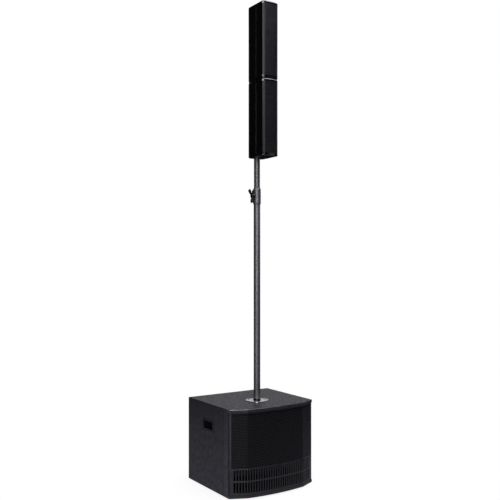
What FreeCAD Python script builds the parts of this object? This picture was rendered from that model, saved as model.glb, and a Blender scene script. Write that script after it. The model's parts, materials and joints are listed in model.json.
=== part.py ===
"""Column PA system: two stacked satellites on a telescopic pole above an active subwoofer.

Millimetres, +Z up, the front faces -Y, origin on the floor at the centre of the base.
"""
import FreeCAD
import Part
import math
import os

V = FreeCAD.Vector
X_AXIS = V(1, 0, 0)
Y_AXIS = V(0, 1, 0)
Z_AXIS = V(0, 0, 1)
FIT = 0.05          # radial clearance of running and drop-in fits

# ---- driving dimensions: subwoofer cabinet -------------------------------------------------
CABINET_WIDTH = 520.0
CABINET_HEIGHT = 442.0
FOOT_HEIGHT = 8.0
DEPTH = 478.0                # from the middle of the bowed front to the back edges
BOW_DEPTH = 56.0             # how far the middle of the front stands before its outer edges
CENTRE_ARC_SAGITTA = 15.0
CENTRE_ARC_HALF_WIDTH = 172.0
PLY = 15.0
EDGE_ROUNDING = 4.0
GROOVE_Y = -137.0
GROOVE_WIDTH = 2.0
GROOVE_DEPTH = 1.0
REAR_INSET = 22.0            # the rear panel lies this far inside the back edges
GRILLE_INSET = 3.0           # front panels' overhang beyond the grille
GRILLE_SHEET = 2.0
GRILLE_BACKING = 4.0
GRILLE_SPLIT_Z = 153.5       # joint between slotted and perforated grilles

# ---- driving dimensions: woofer ------------------------------------------------------------
WOOFER_Z = 271.0
WOOFER_FLANGE_R = 153.0
WOOFER_HOLE_R = 141.0
CONE_R = 118.0
COIL_R = 38.0
CONE_TRAVEL = 6.0

# ---- driving dimensions: pole --------------------------------------------------------------
POLE_Y = -44.0
LOWER_TUBE_R = 17.5
LOWER_BORE_R = 16.3
UPPER_TUBE_R = 16.0
UPPER_BORE_R = 14.4
COLLAR_BOTTOM_Z = 1488.4
COLLAR_TOP_Z = 1576.4
CLAMP_Z = 1532.4
INSERTED_LENGTH = 650.0      # upper tube below the collar's lower edge at rest

# ---- driving dimensions: satellites --------------------------------------------------------
SATELLITE_WIDTH = 98.0
SATELLITE_HEIGHT = 396.0
SATELLITE_GAP = 3.2
COLUMN_BOTTOM_Z = 1732.8
SATELLITE_FRONT = 130.0      # ahead of the pole's axis
SATELLITE_REAR = 22.0        # behind the pole's axis
SATELLITE_BOW = 4.0
FRONT_CHAMFER = 9.5
REAR_ROUNDING = 22.0
CAP_HEIGHT = 14.0
CAP_CHAMFER = 4.5
SATELLITE_WALL = 4.0
DRIVER_R = 39.0
SOCKET_DEPTH = 114.0

# ---- driving dimensions: cabinet fittings ------------------------------------------------------
PORT_HEIGHT = 80.0
PORT_SHELF = 12.0
AMP_CENTRE_Z = 270.0
AMP_HALF_WIDTH = 150.0
AMP_HALF_HEIGHT = 130.0
AMP_OPENING_MARGIN = 16.0
HANDLE_Y = 23.0
HANDLE_Z = 338.0
GRIP_HALF_LENGTH = 45.0
GRIP_HALF_HEIGHT = 20.0
GRIP_WALL = 3.0
GRIP_DEPTH = 42.0
RIM_MARGIN = 10.0
RIM_STAND = 1.5
FLANGE_R = 60.0
FLANGE_THICKNESS = 3.5
FLANGE_BOSS_R = 20.0
FLANGE_BOSS_LENGTH = 44.0
FOOT_R = 20.0
FOOT_PLACES = [(x, y) for x in (-205.0, 205.0) for y in (-130.0, 190.0)]
SLOT_PITCH = 14.5
SLOT_WIDTH = 8.8
SLOT_MARGIN = 14.0
SLOT_ROWS = ((33.5, 87.0), (94.0, 150.5))

# ---- driving dimensions: screws ----------------------------------------------------------------
GRILLE_SCREW = {"head_r": 3.2, "head_h": 1.4, "shank_r": 1.6, "length": 16.0}
HANDLE_SCREW = {"head_r": 3.0, "head_h": 1.6, "shank_r": 1.6, "length": 12.0}
FLANGE_SCREW = {"head_r": 4.0, "head_h": 1.6, "shank_r": 2.4, "length": 18.0}
AMP_SCREW = {"head_r": 3.6, "head_h": 2.2, "shank_r": 2.0, "length": 15.0}
WOOFER_SCREW = {"head_r": 4.8, "head_h": 3.0, "shank_r": 2.5, "length": 18.0}
FOOT_SCREW = {"head_r": 4.5, "head_h": 2.5, "shank_r": 2.2, "length": 15.0}

# ---- driving dimensions: amplifier panel -------------------------------------------------------
AMP_PLATE = 3.0
LINE_SOCKET_R = 11.5
SPEAKER_SOCKET_R = 12.5
LINE_SOCKET_DEPTH = 22.0
SPEAKER_SOCKET_DEPTH = 24.0
SOCKET_FLOOR = 6.0
LINE_CONTACTS = [(-4.0, 2.5), (4.0, 2.5), (0.0, -4.5)]
LINE_SOCKETS = [(-115.0, 350.0), (-80.0, 350.0), (-45.0, 350.0), (-10.0, 350.0)]
SPEAKER_SOCKETS = [(-45.0, 240.0), (-10.0, 240.0)]
KNOB_PLACES = {"sub_level_knob": (-110.0, 297.0), "satellite_level_knob": (-72.0, 297.0)}
BUTTON_PLACE = (-36.0, 297.0)
BUTTON_R = 4.5
SHAFT_R = 3.0
STEM_R = 2.0
LIGHT_PLACES = [(-14.0, 297.0), (-2.0, 297.0), (10.0, 297.0)]
LIGHT_R = 2.5
INLET_PLACE = (-103.0, 205.0)
INLET_HALF = (24.0, 16.0)
SWITCH_PLACE = (-103.0, 247.0)
SWITCH_HALF = (11.0, 14.0)
SWITCH_TILT = 8.0

# ---- driving dimensions: pole clamp ------------------------------------------------------------
SHOE_R = 5.4
CLAMP_SCREW_R = 5.0
KNOB_TURN = -20.0
LUG_REACH = 29.0
LUG_HALF_HEIGHT = 31.0
LUG_HALF_THICKNESS = 6.5
LUG_ROUNDING = 1.5
COLLAR_R = 20.6
BOSS_START = 14.0
BOSS_ROOT_R = 13.5
BOSS_FACE_R = 11.5
WING_THICKNESS = 12.0
LOWER_TUBE_ABOVE_CLAMP = 24.0
BUSHING_BELOW_RIM = 4.5

# ---- driving dimensions: inside and between the satellites -------------------------------------
SHELL_STEP = 1.5             # the rear part stands this far outside the front part
STEP_BACK = 66.0             # the step's place behind the front edge
SATELLITE_BAFFLE_BACK = 14.0  # the drivers' board behind the front edge
SATELLITE_BAFFLE = 5.0
DRIVER_PITCH = 88.0
SOCKET_R = 17.9
SATELLITE_SHEET = 1.5
PIN_R = 4.0
CONTACT_HALF = (15.0, 8.0)
FLAT_BOW = 0.01              # a front that is flat but keeps its arc edge

# ---- places worked out from the driving dimensions -----------------------------------------
HALF_WIDTH = CABINET_WIDTH / 2
FRONT_Y = -DEPTH / 2
CORNER_Y = FRONT_Y + BOW_DEPTH
BACK_Y = DEPTH / 2
BOTTOM_Z = FOOT_HEIGHT
TOP_Z = FOOT_HEIGHT + CABINET_HEIGHT
FLOOR_Z = BOTTOM_Z + PLY
CEILING_Z = TOP_Z - PLY
INNER_HALF = HALF_WIDTH - PLY
REAR_FACE_Y = BACK_Y - REAR_INSET
REAR_INNER_Y = REAR_FACE_Y - PLY
BAFFLE_FRONT_Y = CORNER_Y + 25
BAFFLE_BACK_Y = BAFFLE_FRONT_Y + PLY
ARC_END_Y = FRONT_Y + CENTRE_ARC_SAGITTA
ARC_RADIUS = (CENTRE_ARC_HALF_WIDTH ** 2 + CENTRE_ARC_SAGITTA ** 2) / (2 * CENTRE_ARC_SAGITTA)
ARC_CENTRE_Y = FRONT_Y + ARC_RADIUS
PORT_TOP_Z = FLOOR_Z + PORT_HEIGHT
PLATE_OUT_Y = REAR_FACE_Y + AMP_PLATE
LOWER_TUBE_TOP = CLAMP_Z + LOWER_TUBE_ABOVE_CLAMP
BUSHING_TOP = COLLAR_TOP_Z - BUSHING_BELOW_RIM
SATELLITE_HALF = SATELLITE_WIDTH / 2
SATELLITE_BAFFLE_Y = POLE_Y - SATELLITE_FRONT + SATELLITE_BAFFLE_BACK
PIN_PLACES = [(x, POLE_Y - 30.0) for x in (-30.0, 30.0)]
CONTACT_Y = POLE_Y - 55.0
REAR_SOCKET_PLACE = (0.0, COLUMN_BOTTOM_Z + 200)
SATELLITE_BOTTOMS = {
    "lower": COLUMN_BOTTOM_Z,
    "upper": COLUMN_BOTTOM_Z + SATELLITE_HEIGHT + SATELLITE_GAP,
}

PARTS = {}


def keep(name, shape):
    """Store a finished node."""
    PARTS[name] = shape


# ---- shape helpers -------------------------------------------------------------------------
def box(x0, x1, y0, y1, z0, z1):
    return Part.makeBox(x1 - x0, y1 - y0, z1 - z0, V(x0, y0, z0))


def rod(start, direction, radius, length):
    return Part.makeCylinder(radius, length, V(*start), direction)


def tube(start, direction, outer, inner, length):
    return rod(start, direction, outer, length).cut(rod(start, direction, inner, length))


def join(shapes):
    """One fused solid from overlapping or touching shapes."""
    first = shapes[0]
    return first.fuse(shapes[1:]).removeSplitter() if len(shapes) > 1 else first


def group(shapes):
    """Several separate solids kept in one node."""
    return Part.makeCompound(shapes)


def polygon_prism(points, z0, z1):
    """Upright prism over a closed polygon in plan."""
    wire = Part.makePolygon([V(x, y, z0) for x, y in points + points[:1]])
    return Part.Face(wire).extrude(V(0, 0, z1 - z0))


def polygon_slab(points, y0, y1, rounding):
    """Slab over a closed polygon in front view (x, z), with every edge rounded."""
    wire = Part.makePolygon([V(x, y0, z) for x, z in points + points[:1]])
    slab = Part.Face(wire).extrude(V(0, y1 - y0, 0))
    return slab.makeFillet(rounding, slab.Edges)


def turned(profile, origin, axis, across):
    """Solid of revolution: profile points are (radius, distance along the axis)."""
    base = V(*origin)
    points = [base + across * r + axis * a for r, a in profile]
    face = Part.Face(Part.makePolygon(points + points[:1]))
    solid = face.revolve(base, axis, 360)
    return Part.Solid(solid) if solid.ShapeType == "Shell" else solid


def rounded_box(x0, x1, y0, y1, z0, z1, radius, along):
    """Box whose four edges parallel to one axis are rounded."""
    solid = box(x0, x1, y0, y1, z0, z1)
    edges = [e for e in solid.Edges if abs(abs(e.tangentAt(e.FirstParameter).dot(along)) - 1) < 1e-6]
    return solid.makeFillet(radius, edges)


def screw(head_at, inward, head_r, head_h, shank_r, length):
    """Pan-head screw: the head stands outside head_at and the shank runs inward."""
    outward = V(*inward) * -1
    head = rod(head_at, outward, head_r, head_h)
    tip = V(*head_at) + outward * (head_h * 0.45)
    recess = Part.makeCylinder(head_r * 0.38, head_h, tip, outward)
    return join([head, rod(head_at, V(*inward), shank_r, length)]).cut(recess)


def screw_hole(head_at, inward, shank_r, length):
    return rod(head_at, V(*inward), shank_r + FIT, length + FIT)


# ---- the bowed front -----------------------------------------------------------------------
def wing_arc_corner(inset):
    """Where the offset wing line meets the offset centre arc, on the +X side."""
    wing = V(CENTRE_ARC_HALF_WIDTH - HALF_WIDTH, ARC_END_Y - CORNER_Y, 0)
    wing.normalize()
    inward = V(wing.y, -wing.x, 0)
    start = V(HALF_WIDTH, CORNER_Y, 0) + inward * inset
    centre = V(0, ARC_CENTRE_Y, 0)
    radius = ARC_RADIUS - inset
    offset = start - centre
    b = offset.dot(wing)
    c = offset.dot(offset) - radius ** 2
    travel = math.sqrt(b * b - c) - b
    return start, wing, start + wing * travel


def front_prism(inset, half_width, back_y, z0, z1):
    """Upright prism between the offset front outline, two side planes and a back plane."""
    start, wing, corner = wing_arc_corner(inset)
    edge = start + wing * ((half_width - start.x) / wing.x)
    apex = V(0, FRONT_Y + inset, z0)
    right_edge = V(edge.x, edge.y, z0)
    right_corner = V(corner.x, corner.y, z0)
    left_edge = V(-edge.x, edge.y, z0)
    left_corner = V(-corner.x, corner.y, z0)
    back_right = V(half_width, back_y, z0)
    back_left = V(-half_width, back_y, z0)
    wire = Part.Wire([
        Part.makeLine(back_left, left_edge),
        Part.makeLine(left_edge, left_corner),
        Part.Arc(left_corner, apex, right_corner).toShape(),
        Part.makeLine(right_corner, right_edge),
        Part.makeLine(right_edge, back_right),
        Part.makeLine(back_right, back_left),
    ])
    return Part.Face(wire).extrude(V(0, 0, z1 - z0))


def front_skin(outer_inset, inner_inset, half_width, z0, z1):
    """Bent sheet that follows the front outline."""
    outer = front_prism(outer_inset, half_width, BAFFLE_FRONT_Y, z0, z1)
    inner = front_prism(inner_inset, half_width + 1, BAFFLE_FRONT_Y + 1, z0 - 1, z1 + 1)
    return outer.cut(inner)


def front_stations(inset, pitch, margin):
    """Points along the front outline, half a pitch either side of its middle and evenly on
    from there, with the outward direction at each."""
    start, wing, corner = wing_arc_corner(inset)
    radius = ARC_RADIUS - inset
    half_angle = math.asin(corner.x / radius)
    wing_length = (corner - start).Length
    half_length = radius * half_angle + wing_length
    count = int((half_length - margin) / pitch + 0.5)
    stations = []
    for index in range(-count, count):
        along = abs(index + 0.5) * pitch
        side = -1 if index < 0 else 1
        if along <= radius * half_angle:
            angle = along / radius
            point = V(radius * math.sin(angle), ARC_CENTRE_Y - radius * math.cos(angle), 0)
            outward = V(math.sin(angle), -math.cos(angle), 0)
        else:
            point = corner - wing * (along - radius * half_angle)
            outward = V(-wing.y, wing.x, 0)
        stations.append((V(side * point.x, point.y, 0), V(side * outward.x, outward.y, 0)))
    return stations


# ---- subwoofer cabinet ---------------------------------------------------------------------
def handle_screws(side):
    """Four screws in the rim of a recessed grip."""
    places = []
    for dy in (-1, 1):
        for dz in (-1, 1):
            y = HANDLE_Y + dy * (GRIP_HALF_LENGTH + RIM_MARGIN / 2 + 1)
            z = HANDLE_Z + dz * (GRIP_HALF_HEIGHT + RIM_MARGIN / 2 + 1)
            places.append(((side * (HALF_WIDTH + RIM_STAND), y, z), (-side, 0, 0)))
    return places


def grille_screw_places():
    """Screws near the outer edges of both grilles, square to the wings."""
    start, wing, corner = wing_arc_corner(GRILLE_INSET)
    point = start + wing * 7.0
    outward = V(-wing.y, wing.x, 0)
    places = []
    for side in (-1, 1):
        for z in (FLOOR_Z + 8, GRILLE_SPLIT_Z - 9, GRILLE_SPLIT_Z + 9, 290.0, CEILING_Z - 9):
            places.append(((side * point.x, point.y, z), (-side * outward.x, -outward.y, 0)))
    return places


def flange_screw_places():
    places = []
    for index in range(4):
        angle = math.radians(45 + 90 * index)
        x = 45.0 * math.cos(angle)
        y = POLE_Y + 45.0 * math.sin(angle)
        places.append(((x, y, TOP_Z + FLANGE_THICKNESS), (0, 0, -1)))
    return places


def amp_screw_places():
    places = []
    y = REAR_FACE_Y + AMP_PLATE
    for x in (-1, 0, 1):
        for z in (-1, 0, 1):
            if x or z:
                at = (x * (AMP_HALF_WIDTH - 8), y, AMP_CENTRE_Z + z * (AMP_HALF_HEIGHT - 8))
                places.append((at, (0, -1, 0)))
    return places


def woofer_screw_places():
    places = []
    for index in range(8):
        angle = math.radians(22.5 + 45 * index)
        x = 147.0 * math.cos(angle)
        z = WOOFER_Z + 147.0 * math.sin(angle)
        places.append(((x, BAFFLE_FRONT_Y - 5.0, z), (0, 1, 0)))
    return places


def foot_screw_places():
    return [((x, y, 4.0), (0, 0, 1)) for x, y in FOOT_PLACES]


def screws(name, places, size):
    keep(name, group([screw(at, inward, **size) for at, inward in places]))


def holes_for(places, size):
    return [screw_hole(at, inward, size["shank_r"], size["length"]) for at, inward in places]


def cabinet():
    """Glued plywood box open at the front: two sides with a groove behind the front edge, top,
    bottom and rear panel."""
    outer = front_prism(0, HALF_WIDTH, BACK_Y, BOTTOM_Z, TOP_Z)
    soft = []
    for edge in outer.Edges:
        middle = edge.CenterOfMass
        level = abs(middle.z - TOP_Z) < 1e-6 or abs(middle.z - BOTTOM_Z) < 1e-6
        back_corner = abs(abs(middle.x) - HALF_WIDTH) < 1e-6 and abs(middle.y - BACK_Y) < 1e-6
        if level or back_corner:
            soft.append(edge)
    outer = outer.makeFillet(EDGE_ROUNDING, soft)
    between = box(-HALF_WIDTH - 5, HALF_WIDTH + 5, FRONT_Y - 5, BAFFLE_FRONT_Y, FLOOR_Z, CEILING_Z)
    behind_grille = front_prism(GRILLE_INSET + GRILLE_SHEET, HALF_WIDTH + 6, BAFFLE_FRONT_Y + 1,
                                FLOOR_Z - 1, CEILING_Z + 1)
    cuts = [
        between.cut(behind_grille),
        box(-INNER_HALF, INNER_HALF, FRONT_Y - 5, REAR_INNER_Y, FLOOR_Z, CEILING_Z),
        box(-INNER_HALF, INNER_HALF, REAR_FACE_Y, BACK_Y + 5, FLOOR_Z, CEILING_Z),
        box(-AMP_HALF_WIDTH + AMP_OPENING_MARGIN, AMP_HALF_WIDTH - AMP_OPENING_MARGIN,
            REAR_INNER_Y - 1, REAR_FACE_Y + 1,
            AMP_CENTRE_Z - AMP_HALF_HEIGHT + AMP_OPENING_MARGIN,
            AMP_CENTRE_Z + AMP_HALF_HEIGHT - AMP_OPENING_MARGIN),
        rod((0, POLE_Y, CEILING_Z - 1), Z_AXIS, FLANGE_BOSS_R + 0.2, PLY + 2),
    ]
    half_length = GRIP_HALF_LENGTH + GRIP_WALL + 0.5
    half_height = GRIP_HALF_HEIGHT + GRIP_WALL + 0.5
    for side in (-1, 1):
        x0, x1 = sorted((side * (HALF_WIDTH + 1), side * (HALF_WIDTH - GROOVE_DEPTH)))
        cuts.append(box(x0, x1, GROOVE_Y - GROOVE_WIDTH / 2, GROOVE_Y + GROOVE_WIDTH / 2,
                        BOTTOM_Z - 1, CEILING_Z))
        x0, x1 = sorted((side * (HALF_WIDTH + 1), side * (INNER_HALF - 1)))
        cuts.append(box(x0, x1, HANDLE_Y - half_length, HANDLE_Y + half_length,
                        HANDLE_Z - half_height, HANDLE_Z + half_height))
        cuts += holes_for(handle_screws(side), HANDLE_SCREW)
    cuts += holes_for(grille_screw_places(), GRILLE_SCREW)
    cuts += holes_for(flange_screw_places(), FLANGE_SCREW)
    cuts += holes_for(amp_screw_places(), AMP_SCREW)
    cuts += holes_for(foot_screw_places(), FOOT_SCREW)
    keep("cabinet_shell", outer.cut(cuts))


def baffle_and_port():
    """Front board with the woofer hole above the slot port, and the port's shelf."""
    board = box(-INNER_HALF, INNER_HALF, BAFFLE_FRONT_Y, BAFFLE_BACK_Y, FLOOR_Z, CEILING_Z)
    port = box(-INNER_HALF + 20, INNER_HALF - 20, BAFFLE_FRONT_Y - 1, BAFFLE_BACK_Y + 1,
               FLOOR_Z + 5, PORT_TOP_Z)
    woofer_hole = rod((0, BAFFLE_FRONT_Y - 1, WOOFER_Z), Y_AXIS, WOOFER_HOLE_R, PLY + 2)
    board = board.cut([port, woofer_hole] + holes_for(woofer_screw_places(), WOOFER_SCREW))
    keep("baffle_board", board)
    keep("port_shelf", box(-INNER_HALF, INNER_HALF, BAFFLE_BACK_Y, BAFFLE_BACK_Y + 250,
                           PORT_TOP_Z, PORT_TOP_Z + PORT_SHELF))


def slotted_grille():
    """Moulded lower grille: a skin with a thicker middle and two rows of upright slots."""
    z0 = FLOOR_Z + 0.5
    z1 = GRILLE_SPLIT_Z - 0.25
    back = GRILLE_INSET + GRILLE_SHEET
    skin = front_skin(GRILLE_INSET, back, HALF_WIDTH - 1, z0, z1)
    middle = front_skin(back, back + GRILLE_BACKING, INNER_HALF - 1.5, z0, z1)
    slots = []
    for point, outward in front_stations(GRILLE_INSET, SLOT_PITCH, SLOT_MARGIN):
        for low, high in SLOT_ROWS:
            slot = box(-SLOT_WIDTH / 2, SLOT_WIDTH / 2, -12, 12, low, high)
            slot.rotate(V(0, 0, 0), Z_AXIS, math.degrees(math.atan2(outward.x, -outward.y)))
            slot.translate(point)
            slots.append(slot)
    solid = join([skin, middle]).cut(slots)
    keep("slotted_grille", solid.cut(holes_for(grille_screw_places(), GRILLE_SCREW)))


def perforated_grille():
    """Folded steel sheet over the foam. Its fine holes are too small to carry load or motion."""
    back = GRILLE_INSET + GRILLE_SHEET
    z0 = GRILLE_SPLIT_Z + 0.25
    skin = front_skin(GRILLE_INSET, back, HALF_WIDTH - 1, z0, CEILING_Z - 0.5)
    keep("perforated_grille", skin.cut(holes_for(grille_screw_places(), GRILLE_SCREW)))
    foam = front_skin(back, back + GRILLE_BACKING, INNER_HALF - 1.5, z0, CEILING_Z - 0.5)
    keep("grille_foam", foam)
    screws("grille_screws", grille_screw_places(), GRILLE_SCREW)


def side_handle(name, side):
    """Moulded recessed grip with a rim outside and an upward finger pocket inside."""
    def span(depth0, depth1, half_length, z0, z1, radius):
        x0, x1 = sorted((side * (HALF_WIDTH - depth0), side * (HALF_WIDTH - depth1)))
        return rounded_box(x0, x1, HANDLE_Y - half_length, HANDLE_Y + half_length, z0, z1,
                           radius, X_AXIS)

    low = HANDLE_Z - GRIP_HALF_HEIGHT
    high = HANDLE_Z + GRIP_HALF_HEIGHT
    inner_half = GRIP_HALF_LENGTH
    body = join([
        span(-RIM_STAND, 0, inner_half + RIM_MARGIN, low - RIM_MARGIN, high + RIM_MARGIN, 9.0),
        span(0, GRIP_DEPTH, inner_half + GRIP_WALL, low - GRIP_WALL, high + GRIP_WALL, 6.0),
        span(PLY + 2, GRIP_DEPTH, inner_half + GRIP_WALL, low - GRIP_WALL, high + 15, 6.0),
    ])
    hollow = join([
        span(-RIM_STAND - 1, GRIP_DEPTH - GRIP_WALL, inner_half, low, high, 4.0),
        span(PLY + 5, GRIP_DEPTH - GRIP_WALL, inner_half, low, high + 12, 4.0),
    ])
    keep(name, body.cut([hollow] + holes_for(handle_screws(side), HANDLE_SCREW)))


def feet():
    solids = []
    for x, y in FOOT_PLACES:
        foot = Part.makeCone(FOOT_R - 2, FOOT_R, FOOT_HEIGHT, V(x, y, 0), Z_AXIS)
        sink = rod((x, y, -1), Z_AXIS, 5.5, 5.0)
        bore = rod((x, y, -1), Z_AXIS, FOOT_SCREW["shank_r"] + FIT, FOOT_HEIGHT + 2)
        solids.append(foot.cut([sink, bore]))
    keep("rubber_feet", group(solids))
    screws("feet_screws", foot_screw_places(), FOOT_SCREW)


def pole_flange():
    """Polished disc on the top panel with a threaded boss below it."""
    disc = rod((0, POLE_Y, TOP_Z), Z_AXIS, FLANGE_R, FLANGE_THICKNESS)
    disc = disc.makeChamfer(0.8, [disc.Edges[0]])
    boss = rod((0, POLE_Y, TOP_Z - FLANGE_BOSS_LENGTH), Z_AXIS, FLANGE_BOSS_R, FLANGE_BOSS_LENGTH)
    bore = rod((0, POLE_Y, TOP_Z - FLANGE_BOSS_LENGTH - 1), Z_AXIS, 10 + FIT,
               FLANGE_BOSS_LENGTH + FLANGE_THICKNESS + 2)
    solid = join([disc, boss]).cut([bore] + holes_for(flange_screw_places(), FLANGE_SCREW))
    keep("pole_flange", solid)
    screws("flange_screws", flange_screw_places(), FLANGE_SCREW)


# ---- woofer --------------------------------------------------------------------------------
def woofer_turned(profile):
    """Solid of revolution about the woofer's axis; the second number is the place along Y."""
    return turned(profile, (0, 0, WOOFER_Z), Y_AXIS, X_AXIS)


def woofer():
    front = BAFFLE_FRONT_Y
    seat = front + 87        # front face of the top plate
    flange = woofer_turned([(135, front - 5), (WOOFER_FLANGE_R, front - 5),
                            (WOOFER_FLANGE_R, front), (135, front)])
    cone_wall = woofer_turned([(135, front - 0.5), (139, front - 0.5), (80, front + 83),
                               (76, front + 83)])
    rear_ring = woofer_turned([(46, seat - 4), (80, seat - 4), (80, seat), (46, seat)])
    ledge = woofer_turned([(72, seat - 18), (84, seat - 18), (80, seat - 3.5), (72, seat - 3.5)])
    basket = join([flange, cone_wall, rear_ring, ledge])
    windows = []
    for index in range(6):
        window = Part.makeCone(26, 14, 62, V(0, 0, 0), Y_AXIS)
        window.translate(V(110, front + 14, 0))
        window.rotate(V(0, 0, 0), Y_AXIS, 60 * index + 30)
        window.translate(V(0, 0, WOOFER_Z))
        windows.append(window)
    basket = basket.cut(windows)
    keep("woofer_basket", basket.cut(holes_for(woofer_screw_places(), WOOFER_SCREW)))
    screws("woofer_screws", woofer_screw_places(), WOOFER_SCREW)

    keep("woofer_magnet", woofer_turned([(48, seat + 8), (78, seat + 8), (78, seat + 30),
                                         (48, seat + 30)]))
    top_plate = woofer_turned([(COIL_R + 1.5, seat), (72, seat), (72, seat + 8),
                               (COIL_R + 1.5, seat + 8)])
    yoke = woofer_turned([(14, seat - 2), (COIL_R - 2.5, seat - 2), (COIL_R - 2.5, seat + 30),
                          (74, seat + 30), (74, seat + 38), (14, seat + 38)])
    keep("woofer_motor_steel", group([top_plate, yoke]))

    neck = front + 56
    keep("woofer_surround", woofer_turned([
        (CONE_R, front - 6), (CONE_R + 4, front - 12), (CONE_R + 10, front - 15),
        (CONE_R + 16, front - 12), (CONE_R + 19, front - 7), (CONE_R + 24, front - 7),
        (CONE_R + 24, front - 5), (CONE_R + 17.5, front - 5), (CONE_R + 15, front - 10.5),
        (CONE_R + 10, front - 13.5), (CONE_R + 5, front - 10.5), (CONE_R + 1, front - 4)]))
    keep("woofer_cone", woofer_turned([
        (COIL_R, neck), (60, front + 30), (CONE_R - 0.5, front - 7), (CONE_R - 0.5, front - 3.5),
        (62, front + 33), (COIL_R + 0.2, neck + 4), (COIL_R - 0.7, neck + 4), (COIL_R - 0.7, neck + 1),
        (0, neck + 1), (0, neck - 21), (24, neck - 18), (COIL_R, neck - 9)]))
    former = tube((0, neck + 4, WOOFER_Z), Y_AXIS, COIL_R, COIL_R - 0.6, 50)
    winding = tube((0, seat - 6, WOOFER_Z), Y_AXIS, COIL_R + 0.9, COIL_R, 20)
    keep("woofer_voice_coil", join([former, winding]))
    spider_y = seat - 19
    keep("woofer_spider", woofer_turned([
        (COIL_R + 0.2, spider_y - 0.8), (47, spider_y - 3), (54, spider_y), (61, spider_y - 3),
        (68, spider_y), (80, spider_y), (80, spider_y + 1), (67, spider_y + 1),
        (61, spider_y - 2), (54, spider_y + 1), (47, spider_y - 2), (COIL_R + 0.2, spider_y + 0.2)]))


# ---- amplifier -----------------------------------------------------------------------------
def socket_body(x, face_y, z, radius, depth, contacts):
    """Round connector on a wall: square flange, and a barrel behind it with an open mouth."""
    half = radius + 1.5
    flange = rounded_box(x - half, x + half, face_y, face_y + 2.5, z - half - 2, z + half + 2,
                         2.5, Y_AXIS)
    barrel = rod((x, face_y - depth, z), Y_AXIS, radius - 0.2, depth)
    mouth_y = face_y - depth + SOCKET_FLOOR
    cuts = [rod((x, mouth_y, z), Y_AXIS, radius - 2.2, depth)]
    cuts += [rod((x + dx, mouth_y - 4, z + dz), Y_AXIS, 1.2, 5) for dx, dz in contacts]
    return join([flange, barrel]).cut(cuts)


def twist_socket(x, face_y, z):
    """Twist-lock speaker connector: its body, and the round contact post on the mouth's floor."""
    body = socket_body(x, face_y, z, SPEAKER_SOCKET_R, SPEAKER_SOCKET_DEPTH, [])
    floor_y = face_y - SPEAKER_SOCKET_DEPTH + SOCKET_FLOOR
    return [body, rod((x, floor_y, z), Y_AXIS, 3.5, SPEAKER_SOCKET_DEPTH - SOCKET_FLOOR - 1.5)]


def amplifier_panel():
    plate = rounded_box(-AMP_HALF_WIDTH, AMP_HALF_WIDTH, REAR_FACE_Y, PLATE_OUT_Y,
                        AMP_CENTRE_Z - AMP_HALF_HEIGHT, AMP_CENTRE_Z + AMP_HALF_HEIGHT, 6.0, Y_AXIS)
    y0 = REAR_FACE_Y - 1
    cuts = holes_for(amp_screw_places(), AMP_SCREW)
    cuts += [rod((x, y0, z), Y_AXIS, LINE_SOCKET_R, AMP_PLATE + 2) for x, z in LINE_SOCKETS]
    cuts += [rod((x, y0, z), Y_AXIS, SPEAKER_SOCKET_R, AMP_PLATE + 2) for x, z in SPEAKER_SOCKETS]
    cuts += [rod((x, y0, z), Y_AXIS, 3.5, AMP_PLATE + 2) for x, z in KNOB_PLACES.values()]
    cuts += [rod((x, y0, z), Y_AXIS, LIGHT_R + FIT, AMP_PLATE + 2) for x, z in LIGHT_PLACES]
    cuts.append(rod((BUTTON_PLACE[0], y0, BUTTON_PLACE[1]), Y_AXIS, BUTTON_R + 0.1, AMP_PLATE + 2))
    for (x, z), (half_x, half_z) in ((INLET_PLACE, INLET_HALF), (SWITCH_PLACE, SWITCH_HALF)):
        cuts.append(box(x - half_x, x + half_x, y0, PLATE_OUT_Y + 1, z - half_z, z + half_z))
    keep("amp_panel", plate.cut(cuts))
    screws("amp_screws", amp_screw_places(), AMP_SCREW)


def heatsink():
    """Finned aluminium block on the outside of the panel."""
    base = box(30, 134, PLATE_OUT_Y, PLATE_OUT_Y + 4, 160, 380)
    fins = []
    for index in range(11):
        x = 32 + index * 9.8
        fins.append(box(x, x + 2.4, PLATE_OUT_Y + 4, BACK_Y - 4, 160, 380))
    keep("amp_heatsink", join([base] + fins))


def circuit_board():
    """Amplifier and supply board with its tall parts, on posts behind the panel."""
    y1 = REAR_FACE_Y - 34
    board = box(-120, 120, y1 - 1.6, y1, 165, 375)
    posts = [rod((x, y1, z), Y_AXIS, 3.0, 34) for x in (-112, 20) for z in (175, 335)]
    capacitors = [rod((x, y1 - 1.6, 200), Y_AXIS * -1, 15, 45) for x in (-70, -34, 2)]
    core = tube((70, y1 - 1.6, 330), Y_AXIS * -1, 32, 10, 34)
    sink = [box(30, 110, y1 - 30, y1 - 1.6, 180 + 14 * i, 184 + 14 * i) for i in range(6)]
    rail = box(34, 40, y1 - 24, y1 - 1.6, 180, 254)
    solids = [join([board, rail, core] + posts + capacitors + sink)]
    y0 = REAR_FACE_Y - 14
    for x, z in KNOB_PLACES.values():
        control = box(x - 8, x + 8, y0, REAR_FACE_Y, z - 9, z + 9)
        solids.append(control.cut(rod((x, y0 - 1, z), Y_AXIS, SHAFT_R + FIT, 20)))
    x, z = BUTTON_PLACE
    control = box(x - 6, x + 6, y0 - 4, REAR_FACE_Y - 4, z - 6, z + 6)
    solids.append(control.cut(rod((x, y0 - 5, z), Y_AXIS, STEM_R + FIT, 20)))
    keep("amp_circuit_board", group(solids))


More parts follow.
